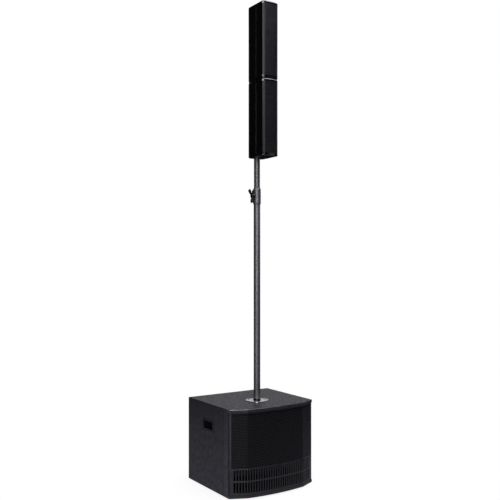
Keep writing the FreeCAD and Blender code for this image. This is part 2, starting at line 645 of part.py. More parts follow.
def panel_fittings():
    sockets = [socket_body(x, PLATE_OUT_Y, z, LINE_SOCKET_R, LINE_SOCKET_DEPTH, LINE_CONTACTS)
               for x, z in LINE_SOCKETS]
    keep("line_sockets", group(sockets))
    sockets = [twist_socket(x, PLATE_OUT_Y, z) for x, z in SPEAKER_SOCKETS]
    keep("speaker_sockets", group([solid for pair in sockets for solid in pair]))
    lights = []
    for x, z in LIGHT_PLACES:
        dome = Part.makeSphere(LIGHT_R, V(x, PLATE_OUT_Y, z))
        lights.append(join([rod((x, REAR_FACE_Y - 3, z), Y_AXIS, LIGHT_R, AMP_PLATE + 3), dome]))
    keep("indicator_lights", group(lights))

    x, z = INLET_PLACE
    half_x, half_z = INLET_HALF
    rim = rounded_box(x - half_x - 3, x + half_x + 3, PLATE_OUT_Y, PLATE_OUT_Y + 3,
                      z - half_z - 3, z + half_z + 3, 3.0, Y_AXIS)
    well = box(x - half_x + 0.1, x + half_x - 0.1, PLATE_OUT_Y - 26, PLATE_OUT_Y,
               z - half_z + 0.1, z + half_z - 0.1)
    mouth = polygon_prism([(-13, -8.5), (13, -8.5), (13, 4), (8, 8.5), (-8, 8.5), (-13, 4)], 0, 24)
    mouth.rotate(V(0, 0, 0), X_AXIS, 90)
    mouth.translate(V(x, PLATE_OUT_Y + 4, z))
    blades = [box(x + dx - 1, x + dx + 1, PLATE_OUT_Y - 21, PLATE_OUT_Y - 3, z + dz - 2.4, z + dz + 2.4)
              for dx, dz in ((-7, -2), (0, 2), (7, -2))]
    keep("mains_inlet", join([rim, well]).cut(mouth).fuse(blades).removeSplitter())


def power_switch():
    """Rocker in its frame; the rocker turns about X on a pin in the frame's walls."""
    x, z = SWITCH_PLACE
    half_x, half_z = SWITCH_HALF
    rim = rounded_box(x - half_x - 2.5, x + half_x + 2.5, PLATE_OUT_Y, PLATE_OUT_Y + 2,
                      z - half_z - 2.5, z + half_z + 2.5, 2.0, Y_AXIS)
    body = box(x - half_x + 0.1, x + half_x - 0.1, PLATE_OUT_Y - 20, PLATE_OUT_Y,
               z - half_z + 0.1, z + half_z - 0.1)
    well = box(x - half_x + 2, x + half_x - 2, PLATE_OUT_Y - 12, PLATE_OUT_Y + 3,
               z - half_z + 2, z + half_z - 2)
    pin_y = PLATE_OUT_Y - 2
    pin_hole = rod((x - half_x + 0.5, pin_y, z), X_AXIS, 1.5 + FIT, 2 * half_x - 1)
    keep("switch_frame", join([rim, body]).cut([well, pin_hole]))
    outline = [(-half_z + 3.2, 0), (-half_z + 3.2, 4.5), (0, 2.2), (half_z - 3.2, 4.5), (half_z - 3.2, 0),
               (3, -5), (-3, -5)]
    wire = Part.makePolygon([V(x - half_x + 2.4, pin_y + out, z + up) for up, out in outline + outline[:1]])
    rocker = Part.Face(wire).extrude(V(2 * half_x - 4.8, 0, 0))
    rocker = join([rocker, rod((x - half_x + 0.8, pin_y, z), X_AXIS, 1.5, 2 * half_x - 1.6)])
    rocker.rotate(V(x, pin_y, z), X_AXIS, -SWITCH_TILT)
    keep("power_switch", rocker)


def level_knob(name, place):
    """Fluted knob on its shaft, with a raised pointer."""
    x, z = place
    shaft = rod((x, REAR_FACE_Y - 12, z), Y_AXIS, SHAFT_R, 18)
    skirt = rod((x, PLATE_OUT_Y + 1, z), Y_AXIS, 8.5, 3)
    grip = rod((x, PLATE_OUT_Y + 3.5, z), Y_AXIS, 7.0, 10)
    flutes = []
    for index in range(12):
        angle = math.radians(30 * index)
        flutes.append(rod((x + 7.4 * math.cos(angle), PLATE_OUT_Y + 4.5, z + 7.4 * math.sin(angle)),
                          Y_AXIS, 1.0, 12))
    pointer = box(x - 0.6, x + 0.6, PLATE_OUT_Y + 5, PLATE_OUT_Y + 14, z + 2, z + 6.2)
    keep(name, join([shaft, skirt, grip]).cut(flutes).fuse(pointer).removeSplitter())


def phase_button():
    x, z = BUTTON_PLACE
    cap = rod((x, PLATE_OUT_Y - 3.5, z), Y_AXIS, BUTTON_R, 8.5)
    stem = rod((x, REAR_FACE_Y - 12, z), Y_AXIS, STEM_R, 12)
    keep("phase_button", join([cap, stem]))


# ---- pole ----------------------------------------------------------------------------------
def pole_rod(z0, z1, radius):
    return rod((0, POLE_Y, z0), Z_AXIS, radius, z1 - z0)


def pole_turned(profile):
    return turned(profile, (0, POLE_Y, 0), Z_AXIS, X_AXIS)


def lower_pole():
    base_z = TOP_Z + FLANGE_THICKNESS
    stud = pole_rod(TOP_Z - 38, base_z, 10.0)
    base = pole_turned([(0, base_z), (18, base_z), (19.5, base_z + 1.5), (19.5, base_z + 7),
                        (18.5, base_z + 8), (0, base_z + 8)])
    plug = pole_rod(base_z + 7, base_z + 48, LOWER_BORE_R)
    keep("pole_stud", join([stud, base, plug]))
    pipe = pole_rod(base_z + 8, LOWER_TUBE_TOP, LOWER_TUBE_R)
    pipe = pipe.cut(pole_rod(base_z + 7, LOWER_TUBE_TOP + 1, LOWER_BORE_R))
    shoe_hole = rod((-25, POLE_Y, CLAMP_Z), X_AXIS, SHOE_R + 0.15, 20)
    keep("lower_pole_tube", pipe.cut(shoe_hole))


def clamp():
    """Collar on the lower tube's end, its bushing, the shoe and the wing knob on its screw."""
    z0, z1 = COLLAR_BOTTOM_Z, COLLAR_TOP_Z
    collar = pole_turned([
        (LOWER_TUBE_R, z0), (18.4, z0), (20.2, z0 + 8), (COLLAR_R, z0 + 10), (COLLAR_R, z1 - 10),
        (20.2, z1 - 8), (17.8, z1), (16.6, z1), (16.6, BUSHING_TOP), (19.0, BUSHING_TOP),
        (19.0, LOWER_TUBE_TOP), (LOWER_TUBE_R, LOWER_TUBE_TOP)])
    boss = Part.makeCone(BOSS_ROOT_R, BOSS_FACE_R, LUG_REACH - BOSS_START,
                         V(-BOSS_START, POLE_Y, CLAMP_Z), X_AXIS * -1)
    lug_top, lug_bottom = CLAMP_Z + LUG_HALF_HEIGHT, CLAMP_Z - LUG_HALF_HEIGHT
    lug = polygon_slab([(-BOSS_START, z0 + 3), (-LUG_REACH + 3, lug_bottom), (-LUG_REACH, lug_bottom + 4),
                        (-LUG_REACH, lug_top - 4), (-LUG_REACH + 3, lug_top), (-BOSS_START, z1 - 3)],
                       POLE_Y - LUG_HALF_THICKNESS, POLE_Y + LUG_HALF_THICKNESS, LUG_ROUNDING)
    boss = join([boss, lug]).cut(pole_rod(z0, z1, COLLAR_R - 1.1))
    collar = join([collar, boss])
    collar = collar.cut([rod((-21.5, POLE_Y, CLAMP_Z), X_AXIS, SHOE_R + 0.15, 10),
                         rod((-40, POLE_Y, CLAMP_Z), X_AXIS, CLAMP_SCREW_R + FIT, 30)])
    keep("clamp_collar", collar)
    bushing_low, bushing_high = LOWER_TUBE_TOP + 0.1, BUSHING_TOP - 0.1
    keep("clamp_bushing", pole_turned([
        (UPPER_TUBE_R + FIT, bushing_low), (18.95, bushing_low),
        (18.95, bushing_high), (UPPER_TUBE_R + FIT, bushing_high)]))
    shoe = rod((-20.3, POLE_Y, CLAMP_Z), X_AXIS, SHOE_R, 8)
    keep("clamp_shoe", shoe.cut(pole_rod(CLAMP_Z - 20, CLAMP_Z + 20, UPPER_TUBE_R + FIT)))

    stem = rod((-20.5, POLE_Y, CLAMP_Z), X_AXIS * -1, CLAMP_SCREW_R, 14)
    hub = turned([(0, 29.5), (10.5, 29.5), (11.5, 32.5), (10.0, 36), (8.0, 37.5), (0, 38)],
                 (0, POLE_Y, CLAMP_Z), X_AXIS * -1, Z_AXIS)
    wings = []
    for side in (-1, 1):
        def at(a, r):
            return V(-a, POLE_Y - WING_THICKNESS / 2, CLAMP_Z + side * r)
        wire = Part.Wire([
            Part.makeLine(at(36, 2), at(31, 2)),
            Part.makeLine(at(31, 2), at(31, 9)),
            Part.Arc(at(31, 9), at(33, 21), at(34, 33)).toShape(),
            Part.Arc(at(34, 33), at(39.5, 39), at(45.5, 34)).toShape(),
            Part.Arc(at(45.5, 34), at(42.5, 20), at(36, 8)).toShape(),
            Part.makeLine(at(36, 8), at(36, 2)),
        ])
        wings.append(Part.Face(wire).extrude(V(0, WING_THICKNESS, 0)))
    knob = join([stem, hub] + wings)
    knob.rotate(V(0, POLE_Y, CLAMP_Z), X_AXIS, KNOB_TURN)
    keep("clamp_knob", knob)


def upper_pole():
    bottom = COLLAR_BOTTOM_Z - INSERTED_LENGTH
    top = COLUMN_BOTTOM_Z + SOCKET_DEPTH - FIT
    pipe = pole_rod(bottom, top, UPPER_TUBE_R)
    keep("upper_pole_tube", pipe.cut(pole_rod(bottom - 1, top + 1, UPPER_BORE_R)))
    keep("upper_tube_glide", pole_turned([
        (9, bottom - 12), (LOWER_BORE_R - FIT, bottom - 12), (LOWER_BORE_R - FIT, bottom),
        (UPPER_BORE_R, bottom), (UPPER_BORE_R, bottom + 15), (9, bottom + 15)]))


# ---- satellites ----------------------------------------------------------------------------
def satellite_outline(half_width, front, rear, chamfer, rounding, z, bow):
    """Closed plan: bowed front, chamfered front corners, straight sides, rounded rear corners."""
    front_y = POLE_Y - front
    rear_y = POLE_Y + rear
    flat = half_width - chamfer
    diagonal = rounding * (1 - math.sqrt(0.5))

    def at(x, y):
        return V(x, y, z)

    return Part.Wire([
        Part.Arc(at(-flat, front_y), at(0, front_y - bow), at(flat, front_y)).toShape(),
        Part.makeLine(at(flat, front_y), at(half_width, front_y + chamfer)),
        Part.makeLine(at(half_width, front_y + chamfer), at(half_width, rear_y - rounding)),
        Part.Arc(at(half_width, rear_y - rounding), at(half_width - diagonal, rear_y - diagonal),
                 at(half_width - rounding, rear_y)).toShape(),
        Part.makeLine(at(half_width - rounding, rear_y), at(rounding - half_width, rear_y)),
        Part.Arc(at(rounding - half_width, rear_y), at(diagonal - half_width, rear_y - diagonal),
                 at(-half_width, rear_y - rounding)).toShape(),
        Part.makeLine(at(-half_width, rear_y - rounding), at(-half_width, front_y + chamfer)),
        Part.makeLine(at(-half_width, front_y + chamfer), at(-flat, front_y)),
    ])


def satellite_prism(half_width, front, rear, chamfer, rounding, z0, z1, bow):
    wire = satellite_outline(half_width, front, rear, chamfer, rounding, z0, bow)
    return Part.Face(wire).extrude(V(0, 0, z1 - z0))


def driver_heights(bottom):
    """Centres of the three drivers, and of the tweeter above them."""
    first = bottom + CAP_HEIGHT + 48
    places = [first + DRIVER_PITCH * index for index in range(3)]
    return places, places[-1] + 84


def satellite_shell(name, bottom):
    z0 = bottom + CAP_HEIGHT
    z1 = bottom + SATELLITE_HEIGHT - CAP_HEIGHT
    front_part = satellite_prism(SATELLITE_HALF - SHELL_STEP, SATELLITE_FRONT, SATELLITE_REAR - 2,
                                 FRONT_CHAMFER, REAR_ROUNDING, z0, z1, FLAT_BOW)
    rear_part = satellite_prism(SATELLITE_HALF, SATELLITE_FRONT - STEP_BACK, SATELLITE_REAR, 2.5,
                                REAR_ROUNDING, z0, z1, FLAT_BOW)
    outer = join([front_part, rear_part])
    hollow = satellite_prism(SATELLITE_HALF - SHELL_STEP - SATELLITE_WALL, SATELLITE_FRONT - 8,
                             SATELLITE_REAR - SATELLITE_WALL, 6.0, REAR_ROUNDING - SATELLITE_WALL,
                             z0 - 1, z1 + 1, FLAT_BOW)
    flat = SATELLITE_HALF - FRONT_CHAMFER
    window = box(-flat + 1, flat - 1, POLE_Y - SATELLITE_FRONT - 5, SATELLITE_BAFFLE_Y, z0 - 1, z1 + 1)
    cuts = [hollow, window]
    if name == "lower":
        x, z = REAR_SOCKET_PLACE
        cuts.append(rod((x, POLE_Y + SATELLITE_REAR - 10, z), Y_AXIS, SPEAKER_SOCKET_R, 12))
    keep(name + "_satellite_cabinet", outer.cut(cuts))


def satellite_caps(name, bottom):
    """Two moulded end caps, chamfered all round on their outer faces."""
    solids = []
    for z0, outward in ((bottom, -1), (bottom + SATELLITE_HEIGHT - CAP_HEIGHT, 1)):
        cap = satellite_prism(SATELLITE_HALF, SATELLITE_FRONT, SATELLITE_REAR, FRONT_CHAMFER,
                              REAR_ROUNDING, z0, z0 + CAP_HEIGHT, SATELLITE_BOW)
        rim_z = z0 if outward < 0 else z0 + CAP_HEIGHT
        rims = [e for e in cap.Edges
                if abs(e.BoundBox.ZMin - rim_z) < 1e-4 and abs(e.BoundBox.ZMax - rim_z) < 1e-4]
        cap = cap.makeChamfer(CAP_CHAMFER, rims)
        if name == "lower" and outward < 0:
            cap = cap.cut(pole_rod(z0 - 1, z0 + CAP_HEIGHT + 1, SOCKET_R + FIT))
        faces_other = (name == "lower") == (outward > 0)
        if faces_other:
            half_x, half_y = CONTACT_HALF[0] + FIT, CONTACT_HALF[1] + FIT
            holes = [rod((x, y, z0 - 1), Z_AXIS, PIN_R + FIT, CAP_HEIGHT + 2) for x, y in PIN_PLACES]
            holes.append(box(-half_x, half_x, CONTACT_Y - half_y, CONTACT_Y + half_y,
                             z0 - 1, z0 + CAP_HEIGHT + 1))
            cap = cap.cut(holes)
        solids.append(cap)
    keep(name + "_satellite_caps", group(solids))


def satellite_front(name, bottom):
    """Bowed perforated sheet and the board that carries the drivers."""
    z0 = bottom + CAP_HEIGHT
    z1 = bottom + SATELLITE_HEIGHT - CAP_HEIGHT
    flat = SATELLITE_HALF - FRONT_CHAMFER - 1.25
    front_y = POLE_Y - SATELLITE_FRONT
    outer = [V(-flat, front_y, z0), V(0, front_y - SATELLITE_BOW, z0), V(flat, front_y, z0)]
    inner = [point + V(0, SATELLITE_SHEET, 0) for point in outer]
    wire = Part.Wire([Part.Arc(*outer).toShape(), Part.makeLine(outer[2], inner[2]),
                      Part.Arc(*inner).toShape(), Part.makeLine(inner[0], outer[0])])
    sheet = Part.Face(wire).extrude(V(0, 0, z1 - z0))
    folds = []
    for side in (-1, 1):
        x0, x1 = sorted((side * flat, side * (flat - SATELLITE_SHEET)))
        folds.append(box(x0, x1, front_y + 0.7, SATELLITE_BAFFLE_Y, z0, z1))
    keep(name + "_satellite_grille", join([sheet] + folds))

    half = SATELLITE_HALF - SHELL_STEP - SATELLITE_WALL
    board = box(-half, half, SATELLITE_BAFFLE_Y, SATELLITE_BAFFLE_Y + SATELLITE_BAFFLE, z0, z1)
    places, tweeter_z = driver_heights(bottom)
    holes = [rod((0, SATELLITE_BAFFLE_Y - 1, z), Y_AXIS, DRIVER_R - 4, 8) for z in places]
    holes.append(rod((0, SATELLITE_BAFFLE_Y - 1, tweeter_z), Y_AXIS, 22.0, 8))
    keep(name + "_satellite_baffle", board.cut(holes))


def satellite_drivers(name, bottom):
    frames = []
    cones = []
    y = SATELLITE_BAFFLE_Y
    for z in driver_heights(bottom)[0]:
        def spun(profile):
            return turned(profile, (0, y, z), Y_AXIS, X_AXIS)
        frames.append(spun([
            (34, -3), (36.5, -3), (36.5, 0), (35, 0), (35, 6), (24, 26), (24, 30), (27, 30),
            (27, 44), (7, 44), (7, 31), (12.4, 31), (12.4, 28), (21.5, 28), (21.5, 26),
            (31.5, 6), (31.5, 0), (34, 0)]))
        cones.append(spun([
            (0, 8), (9, 6.4), (11, 15), (26, -1), (29, -3.5), (33.5, -3.3), (33.5, -2.2),
            (30, -1.9), (26.5, 1), (12, 17), (11, 27), (10.4, 27), (10.4, 12), (9, 8.2), (0, 10)]))
    keep(name + "_satellite_drivers", group(frames))
    keep(name + "_satellite_cones", group(cones))


def tweeters():
    """Horn and compression driver at the top of each satellite."""
    solids = []
    y = SATELLITE_BAFFLE_Y
    for bottom in SATELLITE_BOTTOMS.values():
        z = driver_heights(bottom)[1]
        solids.append(turned([(0, 24), (8, 24), (10, 14), (16, 4), (26, -3), (34, -6), (34, 0), (21.5, 0),
                              (21.5, 24), (24, 24), (24, 46), (0, 46)], (0, y, z), Y_AXIS, X_AXIS))
    keep("tweeters", group(solids))


def column_joints():
    """Pole socket in the lower satellite, and what links the two satellites."""
    z0 = COLUMN_BOTTOM_Z
    inner_r = UPPER_TUBE_R + FIT
    top = z0 + SOCKET_DEPTH
    keep("pole_socket", pole_turned([
        (inner_r, z0 + 0.5), (SOCKET_R, z0 + 0.5), (SOCKET_R, top + 3), (0, top + 3),
        (0, top), (inner_r, top)]))
    seam = z0 + SATELLITE_HEIGHT
    reach = CAP_HEIGHT - 1
    pins = [rod((x, y, seam - reach), Z_AXIS, PIN_R, 2 * reach + SATELLITE_GAP) for x, y in PIN_PLACES]
    keep("stack_pins", group(pins))
    y0, y1 = CONTACT_Y - CONTACT_HALF[1], CONTACT_Y + CONTACT_HALF[1]
    half = CONTACT_HALF[0]
    plug = box(-half, half, y0, y1, seam + 1.7, seam + SATELLITE_GAP + CAP_HEIGHT)
    jack = box(-half, half, y0, y1, seam - CAP_HEIGHT, seam + 1.5)
    keep("stack_contacts", group([plug, jack]))

    x, z = REAR_SOCKET_PLACE
    keep("rear_speaker_socket", group(twist_socket(x, POLE_Y + SATELLITE_REAR, z)))


# ---- build ---------------------------------------------------------------------------------
def build():
    cabinet()
    baffle_and_port()
    slotted_grille()
    perforated_grille()
    side_handle("handle_left", -1)
    side_handle("handle_right", 1)
    screws("handle_screws", handle_screws(-1) + handle_screws(1), HANDLE_SCREW)
    feet()
    pole_flange()
    woofer()
    amplifier_panel()
    heatsink()
    circuit_board()
    panel_fittings()
    power_switch()
    for name, place in KNOB_PLACES.items():
        level_knob(name, place)
    phase_button()
    lower_pole()
    clamp()
    upper_pole()
    for name, bottom in SATELLITE_BOTTOMS.items():
        satellite_shell(name, bottom)
        satellite_caps(name, bottom)
        satellite_front(name, bottom)
        satellite_drivers(name, bottom)
    tweeters()
    column_joints()


build()
os.makedirs("parts", exist_ok=True)
for node, shape in PARTS.items():
    shape.exportStep("parts/" + node + ".step")
    valid = "valid" if shape.isValid() else "NOT VALID"
    print(node, len(shape.Solids), "solids", round(shape.Volume / 1000.0, 2), "cm3", valid)
print(len(PARTS), "nodes")
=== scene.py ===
"""Looks of the column PA system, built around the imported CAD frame. Metres, +Z up."""
import bpy
import bmesh
import json
import math
from mathutils import Matrix, Vector


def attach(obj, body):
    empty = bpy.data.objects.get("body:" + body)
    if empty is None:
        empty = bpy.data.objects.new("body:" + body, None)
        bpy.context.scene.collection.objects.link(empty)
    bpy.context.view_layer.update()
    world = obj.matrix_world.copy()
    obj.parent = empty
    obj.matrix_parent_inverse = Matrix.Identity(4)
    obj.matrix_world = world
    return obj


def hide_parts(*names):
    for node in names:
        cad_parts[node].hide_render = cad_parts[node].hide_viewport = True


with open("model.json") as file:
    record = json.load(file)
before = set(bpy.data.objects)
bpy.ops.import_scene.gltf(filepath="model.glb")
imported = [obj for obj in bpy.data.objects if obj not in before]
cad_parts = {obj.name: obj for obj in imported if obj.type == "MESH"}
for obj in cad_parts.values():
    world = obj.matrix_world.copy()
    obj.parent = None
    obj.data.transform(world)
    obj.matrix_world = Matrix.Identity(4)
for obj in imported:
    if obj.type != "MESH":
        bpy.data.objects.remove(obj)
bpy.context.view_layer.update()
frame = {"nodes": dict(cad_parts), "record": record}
NODES = frame["nodes"]
FLOOR_HALF = 30.0
COOL = (0.97, 0.94, 1.12)
NEUTRAL = (1.0, 1.0, 1.03)
WHITE = (1.0, 1.0, 1.0, 1.0)

# ---- the CAD model's driving dimensions, in metres ----
HALF_WIDTH = 0.260
FRONT_Y = -0.239
CORNER_Y = -0.183
ARC_SAGITTA = 0.015
ARC_HALF_WIDTH = 0.172
TOP_Z = 0.450
FLOOR_Z = 0.023
CEILING_Z = 0.435
GRILLE_INSET = 0.003
GRILLE_SHEET = 0.002
GRILLE_EDGE = HALF_WIDTH - 0.0048
ROLL_RADIUS = 0.003
ROLL_SWEEP = 1.1
GRILLE_BACKING = 0.004
GRILLE_SPLIT_Z = 0.1535
JOINT_GAP = 0.0005
INNER_HALF = 0.245
GROOVE_Y = -0.137
SLOT_PITCH = 0.0145
SLOT_WIDTH = 0.0088
LIP_DEPTH = 0.0012
SLOT_ROWS = ((0.0335, 0.0870), (0.0940, 0.1505))
POLE_Y = -0.044
LOWER_TUBE_R = 0.0175
LOWER_BORE_R = 0.0163
UPPER_TUBE_R = 0.0160
UPPER_BORE_R = 0.0144
CLAMP_Z = 1.5324
COLLAR_BOTTOM_Z = 1.4884
COLLAR_TOP_Z = 1.5764
COLLAR_R = 0.0206
LUG_REACH = 0.029
LUG_HALF_HEIGHT = 0.031
LUG_HALF_THICKNESS = 0.0065
KNOB_TURN = -20.0
TO_LEFT = Matrix.Rotation(math.radians(-90), 4, "Y")
WING_HALF_THICKNESS = 0.006
FLANGE_R = 0.060
FLANGE_TOP_Z = TOP_Z + 0.0035
SATELLITE_HALF = 0.049
SATELLITE_HEIGHT = 0.396
SATELLITE_FRONT_Y = POLE_Y - 0.130
SATELLITE_REAR_Y = POLE_Y + 0.022
SATELLITE_BOW = 0.004
SATELLITE_CHAMFER = 0.0095
CHAMFER_GROWTH = 0.586
SATELLITE_REAR_ROUNDING = 0.022
SATELLITE_SHEET = 0.0015
CORNER_POINTS = 6
SHELL_STEP = 0.0015
STEP_BACK = 0.066
CAP_HEIGHT = 0.014
CAP_CHAMFER = 0.0045
CAP_SHOULDER = 0.0057
SOCKET_R = 0.01795
SATELLITE_BOTTOMS = {"lower": 1.7328, "upper": 2.1320}
STUD_R = 0.010
STUD_BASE_R = 0.0195
STUD_BASE_HEIGHT = 0.008
STUD_HEIGHT = 0.048
STUD_DEPTH = 0.0415
TUBE_OVERLAP = 0.650
TUBE_TIP_RISE = 0.11395
BUSHING_SEAT_RISE = 0.024
BOSS_R = 0.0115
BOSS_BORE_R = 0.00505
FOOT_X = 0.205
FOOT_YS = (-0.130, 0.190)
BOLT_CIRCLE_R = 0.045
PANEL_Y = 0.220
FLUTES = 12
FLUTE_DEPTH = 0.00055
KNOB_SIDES = 144
KNOB_PLACES = {"sub_level": (-0.110, 0.297), "satellite_level": (-0.072, 0.297)}
ARC_RADIUS = (ARC_HALF_WIDTH ** 2 + ARC_SAGITTA ** 2) / (2 * ARC_SAGITTA)
ARC_CENTRE_Y = FRONT_Y + ARC_RADIUS

# ---- the pierced fields, in metres: what the CAD's plain sheets leave out ----
HOLE_PITCH = 0.0086
HOLE_R = 0.0034
FIELD_MARGIN = 0.0036
FIELD_TOP_MARGIN = 0.0075
FIELD_RECESS = 0.0008
FIELD_SLIT = 0.0045
SATELLITE_HOLE_PITCH = 0.0050
SATELLITE_HOLE_R = 0.00175
SATELLITE_MARGIN = 0.0035
SATELLITE_RECESS = 0.0003
HOLE_SIDES = 12

# ---- the camera: place in metres, turn to the right in degrees, lens in millimetres ----
CAMERA_PLACE = (-2.0978, -3.2063, 1.1736)
CAMERA_YAW = 33.0
CAMERA_LENS = 51.45
CAMERA_SHIFT = 0.028


# ---- camera ----
def camera():
    data = bpy.data.cameras.new("camera")
    data.lens = CAMERA_LENS
    data.sensor_width = 36.0
    data.shift_y = CAMERA_SHIFT
    data.clip_end = 100.0
    cam = bpy.data.objects.new("camera", data)
    cam.location = CAMERA_PLACE
    cam.rotation_euler = (math.radians(90.0), 0.0, -math.radians(CAMERA_YAW))
    bpy.context.scene.collection.objects.link(cam)
    bpy.context.scene.camera = cam


# ---- light and floor ----
def area_light(name, place, aim, size, watts, tint=COOL):
    data = bpy.data.lights.new(name, "AREA")
    data.shape = "RECTANGLE"
    data.size, data.size_y = size
    data.energy = watts
    data.color = tint
    lamp = bpy.data.objects.new(name, data)
    lamp.location = place
    lamp.rotation_euler = (Vector(aim) - Vector(place)).to_track_quat("-Z", "Y").to_euler()
    lamp.visible_camera = False
    bpy.context.scene.collection.objects.link(lamp)


def shader_tools(owner):
    """Empties the owner's node tree; gives a maker of nodes and a mixer of two shaders."""
    owner.use_nodes = True
    tree = owner.node_tree
    tree.nodes.clear()

    def make(kind, setting=None, **inputs):
        node = tree.nodes.new(kind)
        if setting:
            setattr(node, *setting)
        for key, value in inputs.items():
            socket = node.inputs[key.replace("_", " ")]
            if isinstance(value, bpy.types.NodeSocket):
                tree.links.new(value, socket)
            else:
                socket.default_value = value
        return node.outputs

    def blend(factor, first, second):
        mix = tree.nodes.new("ShaderNodeMixShader")
        for socket, value in zip(mix.inputs, (factor, first, second)):
            tree.links.new(value, socket)
        return mix.outputs[0]
    return make, blend


def studio():
    """Area lights and a dim world, which the camera sees as white."""
    area_light("front_softbox", (-2.6, -3.9, 2.2), (0, 0, 1.5), (1.3, 2.4), 75.0, NEUTRAL)
    area_light("left_strip", (-3.0, -2.0, 3.6), (0, 0, 2.1), (0.5, 1.5), 13.0, NEUTRAL)
    area_light("top_softbox", (-0.3, -1.4, 4.6), (-0.1, -0.2, 0.45), (1.6, 1.6), 130.0)
    area_light("top_bar", (1.3, -1.1, 4.4), (0, -0.2, 0.45), (2.2, 0.8), 65.0)
    area_light("back_panel", (3.45, 5.3, 3.0), (0, 0, 0.9), (6.5, 3.0), 40.0, NEUTRAL)
    area_light("right_front_fill", (2.6, -3.7, 1.9), (0, 0, 1.4), (1.6, 0.6), 2.0, NEUTRAL)
    area_light("right_light", (3.0, 0.1, 2.0), (0.2, -0.2, 0.15), (0.8, 0.8), 6.0)
    area_light("corner_card", (-1.35, -0.88, 0.02), (-0.9, -0.55, 0.42), (0.5, 0.9), 5.0)
    area_light("high_spark", (-2.2, -1.5, 4.6), (0, 0, 2.3), (0.4, 0.4), 9.0, NEUTRAL)
    area_light("low_spark", (-2.9, -1.95, 0.9), (0, 0, 2.1), (0.4, 0.4), 9.0, NEUTRAL)
    world = bpy.data.worlds.new("studio_world")
    bpy.context.scene.world = world
    make, blend = shader_tools(world)
    fill = make("ShaderNodeBackground", Color=(0.86, 0.86, 1.0, 1.0), Strength=0.010)[0]
    backdrop = make("ShaderNodeBackground", Color=WHITE)[0]
    seen = make("ShaderNodeLightPath")["Is Camera Ray"]
    make("ShaderNodeOutputWorld", Surface=blend(seen, fill, backdrop))


def floor():
    """White paper that shades a little near the object and fades into the background."""
    mesh = bpy.data.meshes.new("floor")
    corners = [(-FLOOR_HALF, -FLOOR_HALF, 0), (FLOOR_HALF, -FLOOR_HALF, 0),
               (FLOOR_HALF, FLOOR_HALF, 0), (-FLOOR_HALF, FLOOR_HALF, 0)]
    mesh.from_pydata(corners, [], [(0, 1, 2, 3)])
    plane = bpy.data.objects.new("floor", mesh)
    bpy.context.scene.collection.objects.link(plane)
    paper = bpy.data.materials.new("floor_paper")
    make, blend = shader_tools(paper)
    seen = make("ShaderNodeLightPath")["Is Camera Ray"]
    place = make("ShaderNodeNewGeometry")["Position"]
    distance = make("ShaderNodeVectorMath", ("operation", "LENGTH"), Vector=place)["Value"]

    def spread(r0, r1, low, high):
        """A value that goes from low to high between two distances from the middle."""
        return make("ShaderNodeMapRange", ("interpolation_type", "SMOOTHSTEP"), Value=distance,
                    From_Min=r0, From_Max=r1, To_Min=low, To_Max=high)["Result"]

    tint = make("ShaderNodeMix", ("data_type", "RGBA"), Factor=seen, A=(*COOL, 1.0), B=WHITE)["Result"]
    strength = make("ShaderNodeMix", Factor=seen, A=spread(1.0, 3.0, 0.36, 0.008), B=1.0)["Result"]
    diffuse = make("ShaderNodeBsdfDiffuse", Color=(0.93, 0.93, 0.93, 1.0))[0]
    glow = make("ShaderNodeEmission", Color=tint, Strength=strength)[0]
    make("ShaderNodeOutputMaterial", Surface=blend(spread(0.26, 0.50, 0.90, 1.0), diffuse, glow))
    plane.data.materials.append(paper)


# ---- materials ----
NOISE_SPAN = (0.3, 0.7)


